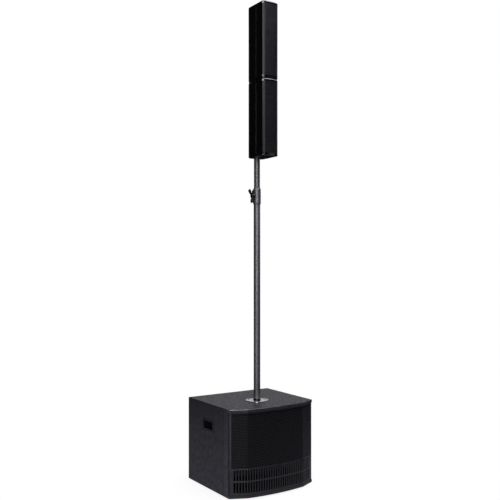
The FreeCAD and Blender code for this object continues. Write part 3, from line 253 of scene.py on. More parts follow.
class Finish:
    """A Principled material with procedural colour, roughness and bump layers."""

    def __init__(self, name, colour, roughness, metallic=0.0, specular=0.5):
        self.material = bpy.data.materials.new(name)
        self.material.use_nodes = True
        self.tree = self.material.node_tree
        self.bsdf = self.tree.nodes["Principled BSDF"]
        self.colour = colour
        self.bsdf.inputs["Metallic"].default_value = metallic
        self.bsdf.inputs["Specular IOR Level"].default_value = specular
        self.bsdf.inputs["Base Color"].default_value = (*colour, 1.0)
        self.bsdf.inputs["Roughness"].default_value = roughness
        self.place = self.tree.nodes.new("ShaderNodeTexCoord").outputs["Object"]
        self.normal = None

    def node(self, kind, **inputs):
        made = self.tree.nodes.new(kind)
        for key, value in inputs.items():
            made.inputs[key.replace("_", " ")].default_value = value
        return made

    def link(self, a, b):
        self.tree.links.new(a, b)

    def stretched(self, scale):
        mapping = self.node("ShaderNodeMapping", Scale=scale)
        self.link(self.place, mapping.inputs["Vector"])
        return mapping.outputs["Vector"]

    def noise(self, size, detail=3.0, stretch=(1, 1, 1)):
        """Noise whose features are about `size` metres across."""
        texture = self.node("ShaderNodeTexNoise", Scale=1.0 / size, Detail=detail)
        self.link(self.stretched(stretch), texture.inputs["Vector"])
        return texture.outputs["Fac"]

    def ramp(self, value, start, end, low, high):
        """A value taken from one range to another, and held at both ends."""
        made = self.node("ShaderNodeMapRange", From_Min=start, From_Max=end, To_Min=low, To_Max=high)
        self.link(value, made.inputs["Value"])
        return made.outputs["Result"]

    def vary_colour(self, factor, low, high):
        scale = self.node("ShaderNodeVectorMath")
        scale.operation = "SCALE"
        scale.inputs[0].default_value = self.colour
        self.link(self.ramp(factor, *NOISE_SPAN, low, high), scale.inputs["Scale"])
        self.link(scale.outputs["Vector"], self.bsdf.inputs["Base Color"])

    def vary_roughness(self, factor, low, high):
        self.link(self.ramp(factor, *NOISE_SPAN, low, high), self.bsdf.inputs["Roughness"])

    def step(self, value, start, width, falling=False):
        """0 to 1 as a value passes a place, over a short width; 1 to 0 where it is falling."""
        ends = (1.0, 0.0) if falling else (0.0, 1.0)
        return self.ramp(value, start - width, start + width, *ends)

    def maths(self, operation, *values):
        """Arithmetic on sockets or plain numbers."""
        made = self.node("ShaderNodeMath")
        made.operation = operation
        for place, value in zip(made.inputs, values):
            if isinstance(value, (int, float)):
                place.default_value = value
            else:
                self.link(value, place)
        return made.outputs["Value"]

    def split(self, vector):
        parts = self.node("ShaderNodeSeparateXYZ")
        self.link(vector, parts.inputs["Vector"])
        return [parts.outputs[axis] for axis in "XYZ"]

    def below_y(self, y, width):
        return self.step(self.split(self.place)[1], y, width, falling=True)

    def beyond_x(self, x, width):
        return self.step(self.maths("ABSOLUTE", self.split(self.place)[0]), x, width)

    def rounded_edge(self):
        """1 where the surface turns between the box's faces, 0 on the faces themselves."""
        geometry = self.node("ShaderNodeNewGeometry")
        x, y, z = [self.maths("ABSOLUTE", part) for part in self.split(geometry.outputs["Normal"])]
        flat = self.maths("MAXIMUM", self.maths("MAXIMUM", x, y), z)
        return self.step(flat, 0.86, 0.03, falling=True)

    def bump(self, height, depth, strength=1.0):
        bump = self.node("ShaderNodeBump", Strength=strength, Distance=depth)
        self.link(height, bump.inputs["Height"])
        if self.normal:
            self.link(self.normal, bump.inputs["Normal"])
        self.normal = bump.outputs["Normal"]
        self.link(self.normal, self.bsdf.inputs["Normal"])


def textured_paint():
    """Speaker paint: grain over a slight mottling, glossier ahead of the grooves and on the front edge;
    painted shade: its other rounded edges lose most of their specular, for a dark outline.
    """
    f = Finish("textured_paint", (0.012, 0.0115, 0.0142), 0.46, specular=0.5)
    f.vary_colour(f.noise(0.05, 4), 0.8, 1.2)
    f.vary_roughness(f.noise(0.018, 5), 0.33, 0.60)
    strip = f.maths("MULTIPLY", f.below_y(GROOVE_Y, 0.0005), f.beyond_x(HALF_WIDTH - 0.0015, 0.0003))
    edge = f.rounded_edge()
    front_edge = f.maths("MULTIPLY", edge, f.below_y(CORNER_Y, 0.002))
    # painted shade: the rounded edges away from the front get most of their specular taken off, so they draw
    # a dark outline
    painted_shade_edge = f.maths("SUBTRACT", edge, front_edge)
    level = f.maths("MULTIPLY_ADD", strip, 0.25, 0.5)
    level = f.maths("MULTIPLY_ADD", front_edge, 0.45, level)
    level = f.maths("MULTIPLY_ADD", painted_shade_edge, -0.45, level)
    f.link(level, f.bsdf.inputs["Specular IOR Level"])
    rough = f.bsdf.inputs["Roughness"]
    smoother = f.maths("MULTIPLY_ADD", front_edge, -0.45, 1.0)
    f.link(f.maths("MULTIPLY", rough.links[0].from_socket, smoother), rough)
    f.bump(f.noise(0.0011, 3), 0.00012, 0.6)
    f.bump(f.noise(0.005, 2), 0.00022, 0.6)
    return f.material


def coat(name, level, roughness, grain):
    """Thin powder coat on steel, open to further layers."""
    f = Finish(name, (level, level * 0.97, level * 1.15), roughness)
    f.vary_colour(f.noise(0.03, 3), 0.88, 1.12)
    f.vary_roughness(f.noise(grain * 2, 2), roughness * 0.85, roughness * 1.15)
    f.bump(f.noise(grain, 2), 0.00003, 0.5)
    return f


def powder_coat(name, level, roughness, grain=0.0006):
    return coat(name, level, roughness, grain).material


def grille_coat_with_painted_sheen():
    """The grilles' powder coat, with a painted sheen: more specular on the wings and much more on their
    rolled edges, so they read brighter than the middle.
    """
    f = coat("grille_steel", 0.007, 0.40, 0.0006)
    # painted sheen: specular raised by position, a little on the wings and much more along the rolled edges
    level = f.maths("MULTIPLY_ADD", f.beyond_x(ARC_HALF_WIDTH, 0.008), 0.12, 0.36)
    level = f.maths("MULTIPLY_ADD", f.beyond_x(HALF_WIDTH - 0.013, 0.002), 0.45, level)
    f.link(level, f.bsdf.inputs["Specular IOR Level"])
    return f.material


def moulded_plastic(name, level, roughness, grain=0.0005, specular=0.4):
    """Moulded plastic with a spark-eroded surface."""
    f = Finish(name, (level, level, level * 1.08), roughness, specular=specular)
    f.vary_colour(f.noise(0.02, 3), 0.9, 1.1)
    f.vary_roughness(f.noise(0.002, 3), roughness * 0.88, roughness * 1.12)
    f.bump(f.noise(grain, 2), 0.00004, 0.4)
    return f.material


def metal(name, colour, roughness, stretch=(1, 1, 1)):
    """Bare metal with fine directional marks."""
    f = Finish(name, colour, roughness, metallic=1.0)
    f.vary_roughness(f.noise(0.0015, 4, stretch), roughness * 0.75, roughness * 1.3)
    f.vary_colour(f.noise(0.01, 3, stretch), 0.93, 1.05)
    f.bump(f.noise(0.0008, 3, stretch), 0.00001, 0.4)
    return f.material


def plywood():
    f = Finish("plywood", (0.46, 0.33, 0.20), 0.6)
    f.vary_colour(f.noise(0.004, 5, (0.12, 1, 1)), 0.8, 1.15)
    f.bump(f.noise(0.0012, 4, (0.1, 1, 1)), 0.00008, 0.4)
    return f.material


def open_foam():
    f = Finish("open_foam", (0.003, 0.003, 0.0033), 0.95, specular=0.05)
    cells = f.node("ShaderNodeTexVoronoi", Scale=900.0)
    f.link(f.place, cells.inputs["Vector"])
    f.vary_colour(cells.outputs["Distance"], 1.3, 0.6)
    f.bump(cells.outputs["Distance"], 0.0004, 0.9)
    return f.material


def grained(name, colour, roughness, blotch, shades, grain, depth, strength, specular=0.5):
    """Plain material; blotch and grain are the (size, detail) of its colour noise and its bump noise."""
    f = Finish(name, colour, roughness, specular=specular)
    f.vary_colour(f.noise(*blotch), *shades)
    f.bump(f.noise(*grain), depth, strength)
    return f.material


def woven_cloth(name, colour):
    f = Finish(name, colour, 0.85, specular=0.2)
    waves = f.node("ShaderNodeTexWave", Scale=220.0, Distortion=0.6)
    f.link(f.place, waves.inputs["Vector"])
    f.vary_colour(waves.outputs["Fac"], 0.8, 1.2)
    f.bump(waves.outputs["Fac"], 0.0001, 0.6)
    return f.material


def light_lens():
    f = Finish("light_lens", (0.05, 0.55, 0.12), 0.15)
    f.vary_colour(f.noise(0.003, 2), 0.9, 1.1)
    f.bsdf.inputs["Transmission Weight"].default_value = 0.35
    f.bsdf.inputs["Emission Color"].default_value = (0.05, 0.9, 0.2, 1.0)
    f.bsdf.inputs["Emission Strength"].default_value = 0.25
    return f.material


def finishes():
    """One material for each slot of the record."""
    return {
        "cabinet_paint": textured_paint(),
        "inner_wood": plywood(),
        "grille_steel": grille_coat_with_painted_sheen(),
        "grille_plastic": moulded_plastic("grille_plastic", 0.012, 0.38, specular=0.55),
        "foam": open_foam(),
        "moulded_black": moulded_plastic("moulded_black", 0.004, 0.42, specular=0.35),
        "satin_black": moulded_plastic("satin_black", 0.0015, 0.26, specular=0.5),
        "gloss_black": moulded_plastic("gloss_black", 0.002, 0.14, grain=0.002, specular=1.0),
        "black_screws": powder_coat("black_screws", 0.015, 0.35),
        "rubber": grained("rubber", (0.018, 0.018, 0.018), 0.75, (0.004, 4), (0.85, 1.2),
                          (0.0008, 3), 0.00006, 0.5, specular=0.3),
        "polished_steel": metal("polished_steel", (0.73, 0.73, 0.725), 0.18, (1, 6, 1)),
        "bright_screws": metal("bright_screws", (0.60, 0.60, 0.62), 0.28),
        "pole_paint": metal("pole_paint", (0.19, 0.19, 0.192), 0.50, (1, 1, 0.2)),
        "cast_frame": powder_coat("cast_frame", 0.02, 0.5, grain=0.0012),
        "ferrite": grained("ferrite", (0.06, 0.06, 0.065), 0.55, (0.003, 5), (0.8, 1.2),
                           (0.001, 4), 0.00005, 0.5),
        "motor_steel": metal("motor_steel", (0.55, 0.55, 0.53), 0.35),
        "cone_paper": grained("paper_cone", (0.022, 0.021, 0.021), 0.8, (0.002, 5), (0.75, 1.3),
                              (0.0012, 5), 0.00015, 0.6, specular=0.3),
        "surround_cloth": woven_cloth("surround_cloth", (0.02, 0.02, 0.022)),
        "spider_cloth": woven_cloth("spider_cloth", (0.42, 0.27, 0.10)),
        "coil": metal("coil", (0.72, 0.36, 0.18), 0.3, (1, 12, 1)),
        "amp_plate": powder_coat("amp_plate", 0.014, 0.45),
        "heatsink": powder_coat("heatsink", 0.02, 0.36),
        "circuit": grained("circuit", (0.02, 0.13, 0.05), 0.35, (0.006, 6), (0.6, 1.3),
                           (0.0015, 5), 0.00008, 0.6),
        "light_lens": light_lens(),
        "nylon": moulded_plastic("nylon", 0.05, 0.5),
    }


FINISH = finishes()


def paint_nodes():
    """Give each CAD node the finish of its own slot."""
    for part in frame["record"]["subparts"]:
        node = NODES[part["node"]]
        node.data.materials.clear()
        node.data.materials.append(FINISH[part["material_slot"]])


# ---- mesh helpers ----
def piece(name, mesh, slot, body, *nodes):
    """Add a finished mesh as a piece of the object."""
    obj = bpy.data.objects.new(name, mesh)
    bpy.context.scene.collection.objects.link(obj)
    mesh.materials.append(FINISH[slot])
    mesh.shade_smooth()
    mesh.set_sharp_from_angle(angle=math.radians(32))
    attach(obj, body)
    if nodes:
        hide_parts(*nodes)
    return obj


def soften(obj, width):
    """Round every edge sharper than 50 degrees."""
    bevel = obj.modifiers.new("rounding", "BEVEL")
    bevel.width = width
    bevel.segments = 3
    bevel.limit_method = "ANGLE"
    bevel.angle_limit = math.radians(50)
    bevel.harden_normals = True


def mesh_of(name, bm):
    """Mesh of a bmesh, with doubled points joined and all faces turned outward."""
    bmesh.ops.remove_doubles(bm, verts=bm.verts, dist=1e-7)
    bmesh.ops.recalc_face_normals(bm, faces=bm.faces)
    mesh = bpy.data.meshes.new(name)
    bm.to_mesh(mesh)
    bm.free()
    return mesh


def solid(name, bm, slot, body, *nodes):
    """Add a bmesh as a piece."""
    return piece(name, mesh_of(name, bm), slot, body, *nodes)


def band(bm, low, high):
    """Closed band of faces between two loops with as many vertices."""
    for k in range(len(low)):
        after = (k + 1) % len(low)
        bm.faces.new([low[k], low[after], high[after], high[k]])


def spin(bm, profile, frame_matrix, segments, closed=True):
    """Solid of revolution in a bmesh: profile points are (radius, distance along local Z)."""
    rings = []
    for r, along in profile:
        if r < 1e-7:
            rings.append([bm.verts.new(frame_matrix @ Vector((0, 0, along)))])
            continue
        ring = []
        for step in range(segments):
            angle = 2 * math.pi * step / segments
            place = Vector((r * math.cos(angle), r * math.sin(angle), along))
            ring.append(bm.verts.new(frame_matrix @ place))
        rings.append(ring)
    pairs = list(zip(rings, rings[1:] + rings[:1])) if closed else list(zip(rings, rings[1:]))
    for low, high in pairs:
        if len(low) == 1 and len(high) == 1:
            continue
        for step in range(segments):
            after = (step + 1) % segments
            corners = [low[step % len(low)], low[after % len(low)],
                       high[after % len(high)], high[step % len(high)]]
            unique = [v for index, v in enumerate(corners) if v not in corners[:index]]
            bm.faces.new(unique)


def rounded_profile(points, radius):
    """Closed profile whose corners are replaced with arcs of about the given radius."""
    out = []
    count = len(points)
    for index, point in enumerate(points):
        here = Vector(point)
        if here.x < 1e-6:
            out.append(point)
            continue
        before = Vector(points[index - 1]) - here
        after = Vector(points[(index + 1) % count]) - here
        reach = min(radius, before.length * 0.45, after.length * 0.45)
        start = here + before.normalized() * reach
        end = here + after.normalized() * reach
        for step in range(5):
            t = step / 4
            curve = start * (1 - t) ** 2 + here * 2 * t * (1 - t) + end * t ** 2
            out.append((curve.x, curve.y))
    return out


def turned(name, profile, slot, body, node, rounding, segments=128):
    """One lathe piece about the pole's axis, with softened corners."""
    bm = bmesh.new()
    spin(bm, rounded_profile(profile, rounding), Matrix.Translation((0, POLE_Y, 0)), segments)
    solid(name, bm, slot, body, node)


def extruded(bm, outline, z0, z1):
    """Upright prism over a closed outline of (x, y) points."""
    low = [bm.verts.new((x, y, z0)) for x, y in outline]
    high = [bm.verts.new((x, y, z1)) for x, y in outline]
    bm.faces.new(low[::-1])
    bm.faces.new(high)
    band(bm, low, high)
    return bm


# ---- the bowed front as a path ----
def front_corner(inset):
    """Start and direction of the right wing and its meeting point with the arc, offset inward."""
    wing = Vector((ARC_HALF_WIDTH - HALF_WIDTH, FRONT_Y + ARC_SAGITTA - CORNER_Y)).normalized()
    inward = Vector((wing.y, -wing.x))
    start = Vector((HALF_WIDTH, CORNER_Y)) + inward * inset
    offset = start - Vector((0, ARC_CENTRE_Y))
    b = offset.dot(wing)
    travel = math.sqrt(b * b - offset.dot(offset) + (ARC_RADIUS - inset) ** 2) - b
    return wing, start + wing * travel


def front_point(along, inset):
    """Point (x, y) and outward direction at a distance along the front from its middle."""
    wing, corner = front_corner(inset)
    radius = ARC_RADIUS - inset
    half_arc = radius * math.asin(corner.x / radius)
    side = -1 if along < 0 else 1
    if abs(along) <= half_arc:
        angle = abs(along) / radius
        place = Vector((radius * math.sin(angle), ARC_CENTRE_Y - radius * math.cos(angle)))
        outward = Vector((math.sin(angle), -math.cos(angle)))
    else:
        place = corner - wing * (abs(along) - half_arc)
        outward = Vector((-wing.y, wing.x))
    return Vector((side * place.x, place.y)), Vector((side * outward.x, outward.y))


def front_half_length(half_width, inset):
    """Distance along the front from its middle out to a half width."""
    wing, corner = front_corner(inset)
    radius = ARC_RADIUS - inset
    return radius * math.asin(corner.x / radius) + (half_width - corner.x) / -wing.x


def on_front(along, z, depth):
    """Place on the subwoofer's front sheet, a depth behind its outer face."""
    place, outward = front_point(along, GRILLE_INSET)
    return Vector((place.x - outward.x * depth, place.y - outward.y * depth, z))


def on_rolled_front(along, z, depth):
    """As on_front, with the face rolled back along the sheet's two side edges."""
    start = front_half_length(GRILLE_EDGE, GRILLE_INSET) - ROLL_RADIUS * ROLL_SWEEP
    turn = max(0.0, abs(along) - start) / ROLL_RADIUS
    drop = ROLL_RADIUS * (1 - math.cos(turn))
    shift = math.copysign(ROLL_RADIUS * (math.sin(turn) - turn), along)
    return on_front(along + shift, z, max(depth, min(depth + drop, GRILLE_SHEET * 0.95)))


def roll_stops(half, rolled):
    """Places along the sheet from the start of the rolled edge out to the edge itself."""
    return [half - ROLL_RADIUS * ROLL_SWEEP * k / 3 for k in (3, 2, 1, 0)] if rolled else [half]


def on_satellite(half_width):
    """As on_front, for a satellite's bowed sheet of a half width."""
    radius = (half_width ** 2 + SATELLITE_BOW ** 2) / (2 * SATELLITE_BOW)

    def place(along, z, depth):
        x = max(-half_width, min(half_width, along))
        y = SATELLITE_FRONT_Y - SATELLITE_BOW + radius - math.sqrt(radius ** 2 - x ** 2)
        return Vector((x, y + depth, z))
    return place


# ---- pierced sheets ----
class Sheet:
    """A thin sheet with holes, built in (along, up) coordinates and laid on a surface."""

    def __init__(self, place, thickness):
        self.place = place
        self.thickness = thickness
        self.face_depth = 0.0
        self.bm = bmesh.new()
        self.known = {}

    def vert(self, along, z, depth):
        key = (round(along, 7), round(z, 7), round(depth, 7))
        if key not in self.known:
            self.known[key] = self.bm.verts.new(self.place(along, z, depth))
        return self.known[key]

    def face(self, corners):
        unique = [v for index, v in enumerate(corners) if v not in corners[:index]]
        if len(unique) > 2:
            self.bm.faces.new(unique)

    def patch(self, *places):
        """A face over (along, up, depth) places."""
        self.face([self.vert(*place) for place in places])

    def plate(self, loop):
        """A cell with no hole: outer and inner faces."""
        self.patch(*[(a, z, self.face_depth) for a, z in loop])
        self.patch(*[(a, z, self.thickness) for a, z in reversed(loop)])

    def cell(self, a0, a1, bottom, top):
        self.plate([(a0, bottom), (a1, bottom), (a1, top), (a0, top)])

    def wall(self, loop, depth0, depth1):
        self.steps(loop + loop[:1], depth0, depth1)

    def steps(self, line, depth0, depth1):
        """Faces through the sheet's depth along an open line."""
        for (a0, z0), (a1, z1) in zip(line, line[1:]):
            self.patch((a0, z0, depth0), (a1, z1, depth0), (a1, z1, depth1), (a0, z0, depth1))

    def ring(self, outer, inner, depth, back):
        """Triangles between two loops that both run anticlockwise from the same side."""
        i = j = 0
        while i < len(outer) or j < len(inner):
            outer_next = (i + 1) / len(outer)
            inner_next = (j + 1) / len(inner)
            o, n = outer[i % len(outer)], inner[j % len(inner)]
            if outer_next <= inner_next and i < len(outer):
                i += 1
                corners = [o, outer[i % len(outer)], n]
            else:
                j += 1
                corners = [o, inner[j % len(inner)], n]
            verts = [self.vert(a, z, depth) for a, z in corners]
            self.face(verts[::-1] if back else verts)

    def hole(self, outer, inner, lip=None):
        """A cell with a hole; lip is a wider loop at the face for a softened rim."""
        mouth = lip or inner
        start = self.face_depth
        self.ring(outer, mouth, start, False)
        if lip:
            start += LIP_DEPTH
            for k in range(len(lip)):
                after = (k + 1) % len(lip)
                self.patch((*lip[k], self.face_depth), (*lip[after], self.face_depth),
                           (*inner[after], start), (*inner[k], start))
        self.wall(inner, start, self.thickness)
        self.ring(outer, inner, self.thickness, True)

    def mesh(self, name):
        bmesh.ops.recalc_face_normals(self.bm, faces=self.bm.faces)
        mesh = bpy.data.meshes.new(name)
        self.bm.to_mesh(mesh)
        self.bm.free()
        return mesh


def spans(*rows):
    """Neighbouring pairs of stops in each row."""
    return [pair for row in rows for pair in zip(row, row[1:])]


def perforate(sheet, half_length, z0, z1, pitch, hole_r, margin, top_margin, recess, rolled=False, slit=0.0):
    """Staggered round holes in a field pressed a little behind plain margins, below an optional slit."""
    field_height = z1 - z0 - margin - top_margin - slit
    rows = int(field_height / (pitch * math.sqrt(0.75)))
    columns = int((2 * half_length - 2 * margin) / pitch) * 2 + 1
    half = (2 * half_length - 2 * margin) / columns
    height = field_height / rows
    left = -half_length + margin
    right = left + columns * half
    low = z0 + margin
    high = z1 - top_margin - slit
    sheet.face_depth = recess
    for row in range(rows):
        bottom = low + row * height
        top = bottom + height
        column = row % 2
        if column:
            sheet.cell(left, left + half, bottom, top)
        while column + 2 <= columns:
            a0 = left + column * half
            a1, a2 = left + (column + 1) * half, left + (column + 2) * half
            outer = [(a2, bottom), (a2, top), (a1, top), (a0, top), (a0, bottom), (a1, bottom)]
            middle = (bottom + top) / 2
            inner = []
            for step in range(HOLE_SIDES):
                angle = math.radians(360 / HOLE_SIDES * (step - 1))
                inner.append((a1 + hole_r * math.cos(angle), middle + hole_r * math.sin(angle)))
            sheet.hole(outer, inner)
            column += 2
        if column < columns:
            sheet.cell(left + column * half, left + columns * half, bottom, top)
    sheet.face_depth = 0.0
    rim = roll_stops(half_length, rolled)
    lefts = [-a for a in reversed(rim)] + [left]
    rights = [right] + rim
    inner_stops = [left + k * half for k in range(columns + 1)]
    inner_levels = [low + k * height for k in range(rows + 1)]
    side_levels = inner_levels + ([high + slit] if slit else [])
    for bottom, top in zip(side_levels, side_levels[1:]):
        for a0, a1 in spans(lefts, rights):
            sheet.cell(a0, a1, bottom, top)
    field = [(right, z) for z in inner_levels[::-1]] + [(a, low) for a in inner_stops[-2::-1]]
    field += [(left, z) for z in inner_levels[1:]]
    sheet.steps(field, 0.0, recess)
    if slit:
        sheet.steps([(a, high) for a in inner_stops], recess, sheet.thickness)
        sheet.steps([(left, high), (left, high + slit)], 0.0, sheet.thickness)
        sheet.steps([(right, high), (right, high + slit)], 0.0, sheet.thickness)
        sheet.steps([(a, high + slit) for a in inner_stops], 0.0, sheet.thickness)
    else:
        sheet.steps([(a, high) for a in inner_stops], 0.0, recess)
    stops = lefts[:-1] + inner_stops + rights[1:]
    for a0, a1 in zip(stops, stops[1:]):
        sheet.cell(a0, a1, z0, low)
        sheet.cell(a0, a1, high + slit, z1)
    levels = [z0] + side_levels + [z1]
    border = [(a, z0) for a in stops] + [(half_length, z) for z in levels[1:]]
    border += [(a, z1) for a in stops[-2::-1]] + [(-half_length, z) for z in levels[-2:0:-1]]
    sheet.wall(border, 0, sheet.thickness)


# ---- subwoofer ----
def subwoofer_grille():
    half = front_half_length(GRILLE_EDGE, GRILLE_INSET)
    sheet = Sheet(on_rolled_front, GRILLE_SHEET)
    perforate(sheet, half, GRILLE_SPLIT_Z + JOINT_GAP / 2, CEILING_Z - JOINT_GAP, HOLE_PITCH, HOLE_R,
              FIELD_MARGIN, FIELD_TOP_MARGIN, FIELD_RECESS, rolled=True, slit=FIELD_SLIT)
    piece("upper_grille", sheet.mesh("upper_grille"), "grille_steel", "subwoofer", "perforated_grille")


def gap_shadow_seals():
    """Black foam strips that fill the gap between the grilles and the cabinet's sides; their black also
    stands in for the shadow in that gap, a painted shadow.
    """
    inner = front_half_length(GRILLE_EDGE - 0.0005, GRILLE_INSET)
    outer = front_half_length(HALF_WIDTH - 0.0008, GRILLE_INSET)
    sheet = Sheet(on_front, 0.0019)
    sheet.face_depth = 0.0010
    levels = [FLOOR_Z + JOINT_GAP, GRILLE_SPLIT_Z, CEILING_Z - JOINT_GAP]
    for near, far in ((-inner, -outer), (inner, outer)):
        for bottom, top in zip(levels, levels[1:]):
            sheet.cell(near, far, bottom, top)
        rim = [(near, levels[0])] + [(far, z) for z in levels] + [(near, z) for z in levels[:0:-1]]
        sheet.wall(rim, sheet.face_depth, sheet.thickness)
    piece("grille_gap_shadow_seals", sheet.mesh("grille_gap_shadow_seals"), "foam", "subwoofer")


def lower_grille():
    """Moulded bars: slots with softened rims, over the same outline as the CAD slots."""
    half = front_half_length(GRILLE_EDGE, GRILLE_INSET)
    z0, z1 = FLOOR_Z + JOINT_GAP, GRILLE_SPLIT_Z - JOINT_GAP / 2
    back = GRILLE_SHEET + GRILLE_BACKING
    sheet = Sheet(on_rolled_front, back)
    middle = (SLOT_ROWS[0][1] + SLOT_ROWS[1][0]) / 2
    count = int((half - 0.014) / SLOT_PITCH + 0.5)
    edges = [k * SLOT_PITCH for k in range(-count, count + 1)]
    rim = roll_stops(half, True)
    lefts = [-a for a in reversed(rim)] + [edges[0]]
    rights = [edges[-1]] + rim
    w = SLOT_WIDTH / 2
    wide = w + 0.0007
    for (low, high), (bottom, top) in zip(SLOT_ROWS, ((z0, middle), (middle, z1 - LIP_DEPTH))):
        foot, crown = low - 0.0022, high + 0.0005
        for a0, a1 in zip(edges, edges[1:]):
            centre = (a0 + a1) / 2
            outer = [(a1, bottom), (a1, top), (a0, top), (a0, bottom)]
            inner = [(centre + w, low), (centre + w, high), (centre - w, high), (centre - w, low)]
            lip = [(centre + wide, foot), (centre + wide, crown),
                   (centre - wide, crown), (centre - wide, foot)]
            sheet.hole(outer, inner, lip)
        for a0, a1 in spans(lefts, rights):
            sheet.cell(a0, a1, bottom, top)
    stops = lefts[:-1] + edges + rights[1:]
    shoulder = z1 - LIP_DEPTH
    for a0, a1 in zip(stops, stops[1:]):
        sheet.patch((a0, shoulder, 0), (a1, shoulder, 0), (a1, z1, LIP_DEPTH), (a0, z1, LIP_DEPTH))
        sheet.patch((a0, z1, LIP_DEPTH), (a1, z1, LIP_DEPTH), (a1, shoulder, back), (a0, shoulder, back))
        sheet.patch((a1, z0, 0), (a0, z0, 0), (a0, z0, back), (a1, z0, back))
    for side in (-half, half):
        for bottom, top in ((z0, middle), (middle, shoulder)):
            sheet.patch((side, bottom, 0), (side, top, 0), (side, top, back), (side, bottom, back))
        sheet.patch((side, shoulder, 0), (side, z1, LIP_DEPTH), (side, shoulder, back))
    piece("lower_grille", sheet.mesh("lower_grille"), "grille_plastic", "subwoofer", "slotted_grille")


def foam_sheet():
    """Open-cell foam behind the perforated sheet, with a slightly uneven face."""
    half = front_half_length(INNER_HALF - 0.0015, GRILLE_INSET + GRILLE_SHEET)
    z0, z1 = GRILLE_SPLIT_Z + 0.0005, CEILING_Z - 0.0008
    columns, rows = 120, 64
    bm = bmesh.new()
    grids = []
    for depth in (GRILLE_SHEET + 0.0003, GRILLE_SHEET + GRILLE_BACKING - 0.0002):
        grid = []
        for row in range(rows + 1):
            z = z0 + (z1 - z0) * row / rows
            line = []
            for column in range(columns + 1):
                along = -half + 2 * half * column / columns
                swell = 0.00025 * math.sin(along * 310 + math.sin(z * 170)) * math.sin(z * 270 + along * 40)
                line.append(bm.verts.new(on_front(along, z, depth + abs(swell))))
            grid.append(line)
        grids.append(grid)
    for grid in grids:
        for row in range(rows):
            for column in range(columns):
                bm.faces.new([grid[row][column], grid[row][column + 1],
                              grid[row + 1][column + 1], grid[row + 1][column]])
    outer, inner = grids
    rim = [(0, c) for c in range(columns)] + [(r, columns) for r in range(rows)]
    rim += [(rows, c) for c in range(columns, 0, -1)] + [(r, 0) for r in range(rows, 0, -1)]
    for (r0, c0), (r1, c1) in zip(rim, rim[1:] + rim[:1]):
        bm.faces.new([outer[r0][c0], outer[r1][c1], inner[r1][c1], inner[r0][c0]])
    foam = solid("foam_sheet", bm, "foam", "subwoofer", "grille_foam")


def screw_set(name, places, head_r, head_h, shank_r, length, node):
    """Pan heads with a round recess, on plain shanks."""
    bm = bmesh.new()
    for at, inward in places:
        outward = -Vector(inward)
        turn = Vector((0, 0, 1)).rotation_difference(outward).to_matrix().to_4x4()
        matrix = Matrix.Translation(at) @ turn
        crown = [(head_r * math.cos(math.radians(a)), head_h * (0.35 + 0.65 * math.sin(math.radians(a))))
                 for a in (5, 25, 45, 60)]
        recess = [(head_r * 0.46, head_h * 0.96), (head_r * 0.30, head_h * 0.42), (0, head_h * 0.30)]
        shank = [(0, -length), (shank_r, -length + shank_r * 0.6), (shank_r, 0), (head_r, 0)]
        spin(bm, shank + crown + recess, matrix, 24, closed=False)
    solid(name, bm, "black_screws", "subwoofer", node)


def subwoofer_screws():
    place, outward = front_point(front_half_length(HALF_WIDTH, GRILLE_INSET) - 0.007, GRILLE_INSET)
    heights = (FLOOR_Z + 0.008, GRILLE_SPLIT_Z - 0.009, GRILLE_SPLIT_Z + 0.009, 0.290, CEILING_Z - 0.009)
    places = [((side * place.x, place.y, z), (-side * outward.x, -outward.y, 0))
              for side in (-1, 1) for z in heights]
    screw_set("front_screws", places, 0.0032, 0.0014, 0.0016, 0.016, "grille_screws")
    places = []
    for step in range(4):
        angle = math.radians(45 + 90 * step)
        at = (BOLT_CIRCLE_R * math.cos(angle), POLE_Y + BOLT_CIRCLE_R * math.sin(angle), FLANGE_TOP_Z)
        places.append((at, (0, 0, -1)))
    screw_set("flange_bolts", places, 0.0040, 0.0016, 0.0024, 0.018, "flange_screws")


def flange():
    """Round plate on the top, with a bored boss below it for the pole's stud."""
    bore_r, boss_r, boss_z = STUD_R + 0.00005, 0.020, TOP_Z - 0.044
    profile = [(bore_r, boss_z), (boss_r, boss_z), (boss_r, TOP_Z), (FLANGE_R, TOP_Z),
               (FLANGE_R, FLANGE_TOP_Z), (bore_r, FLANGE_TOP_Z)]
    turned("flange_plate", profile, "polished_steel", "subwoofer", "pole_flange", 0.00015)


def feet():
    """Tapered rubber discs, each with a counterbored hole for its screw."""
    bm = bmesh.new()
    profile = [(0.0023, 0.004), (0.0055, 0.004), (0.0055, 0), (0.018, 0), (0.020, 0.008), (0.0023, 0.008)]
    for x in (-FOOT_X, FOOT_X):
        for y in FOOT_YS:
            spin(bm, rounded_profile(profile, 0.0008), Matrix.Translation((x, y, 0)), 48)
    solid("feet", bm, "rubber", "subwoofer", "rubber_feet")


# ---- pole ----
def pole():
    """Stud with its base ring and spigot, the lower tube, and the upper tube inside it."""
    base = FLANGE_TOP_Z
    ring_top = base + STUD_BASE_HEIGHT
    lower_top = CLAMP_Z + BUSHING_SEAT_RISE
    turned("pole_foot", [(0, base - STUD_DEPTH), (STUD_R, base - STUD_DEPTH), (STUD_R, base),
                         (STUD_BASE_R, base), (STUD_BASE_R, ring_top), (LOWER_BORE_R, ring_top),
                         (LOWER_BORE_R, base + STUD_HEIGHT), (0, base + STUD_HEIGHT)],
           "satin_black", "subwoofer", "pole_stud", 0.001, 96)
    turned("lower_tube", [(LOWER_BORE_R, ring_top), (LOWER_TUBE_R, ring_top), (LOWER_TUBE_R, lower_top),
                          (LOWER_BORE_R, lower_top)],
           "pole_paint", "subwoofer", "lower_pole_tube", 0.0004)
    bottom = COLLAR_BOTTOM_Z - TUBE_OVERLAP
    tip = SATELLITE_BOTTOMS["lower"] + TUBE_TIP_RISE
    turned("upper_tube", [(UPPER_BORE_R, bottom), (UPPER_TUBE_R, bottom), (UPPER_TUBE_R, tip),
                          (UPPER_BORE_R, tip)],
           "pole_paint", "upper_pole", "upper_pole_tube", 0.0004)


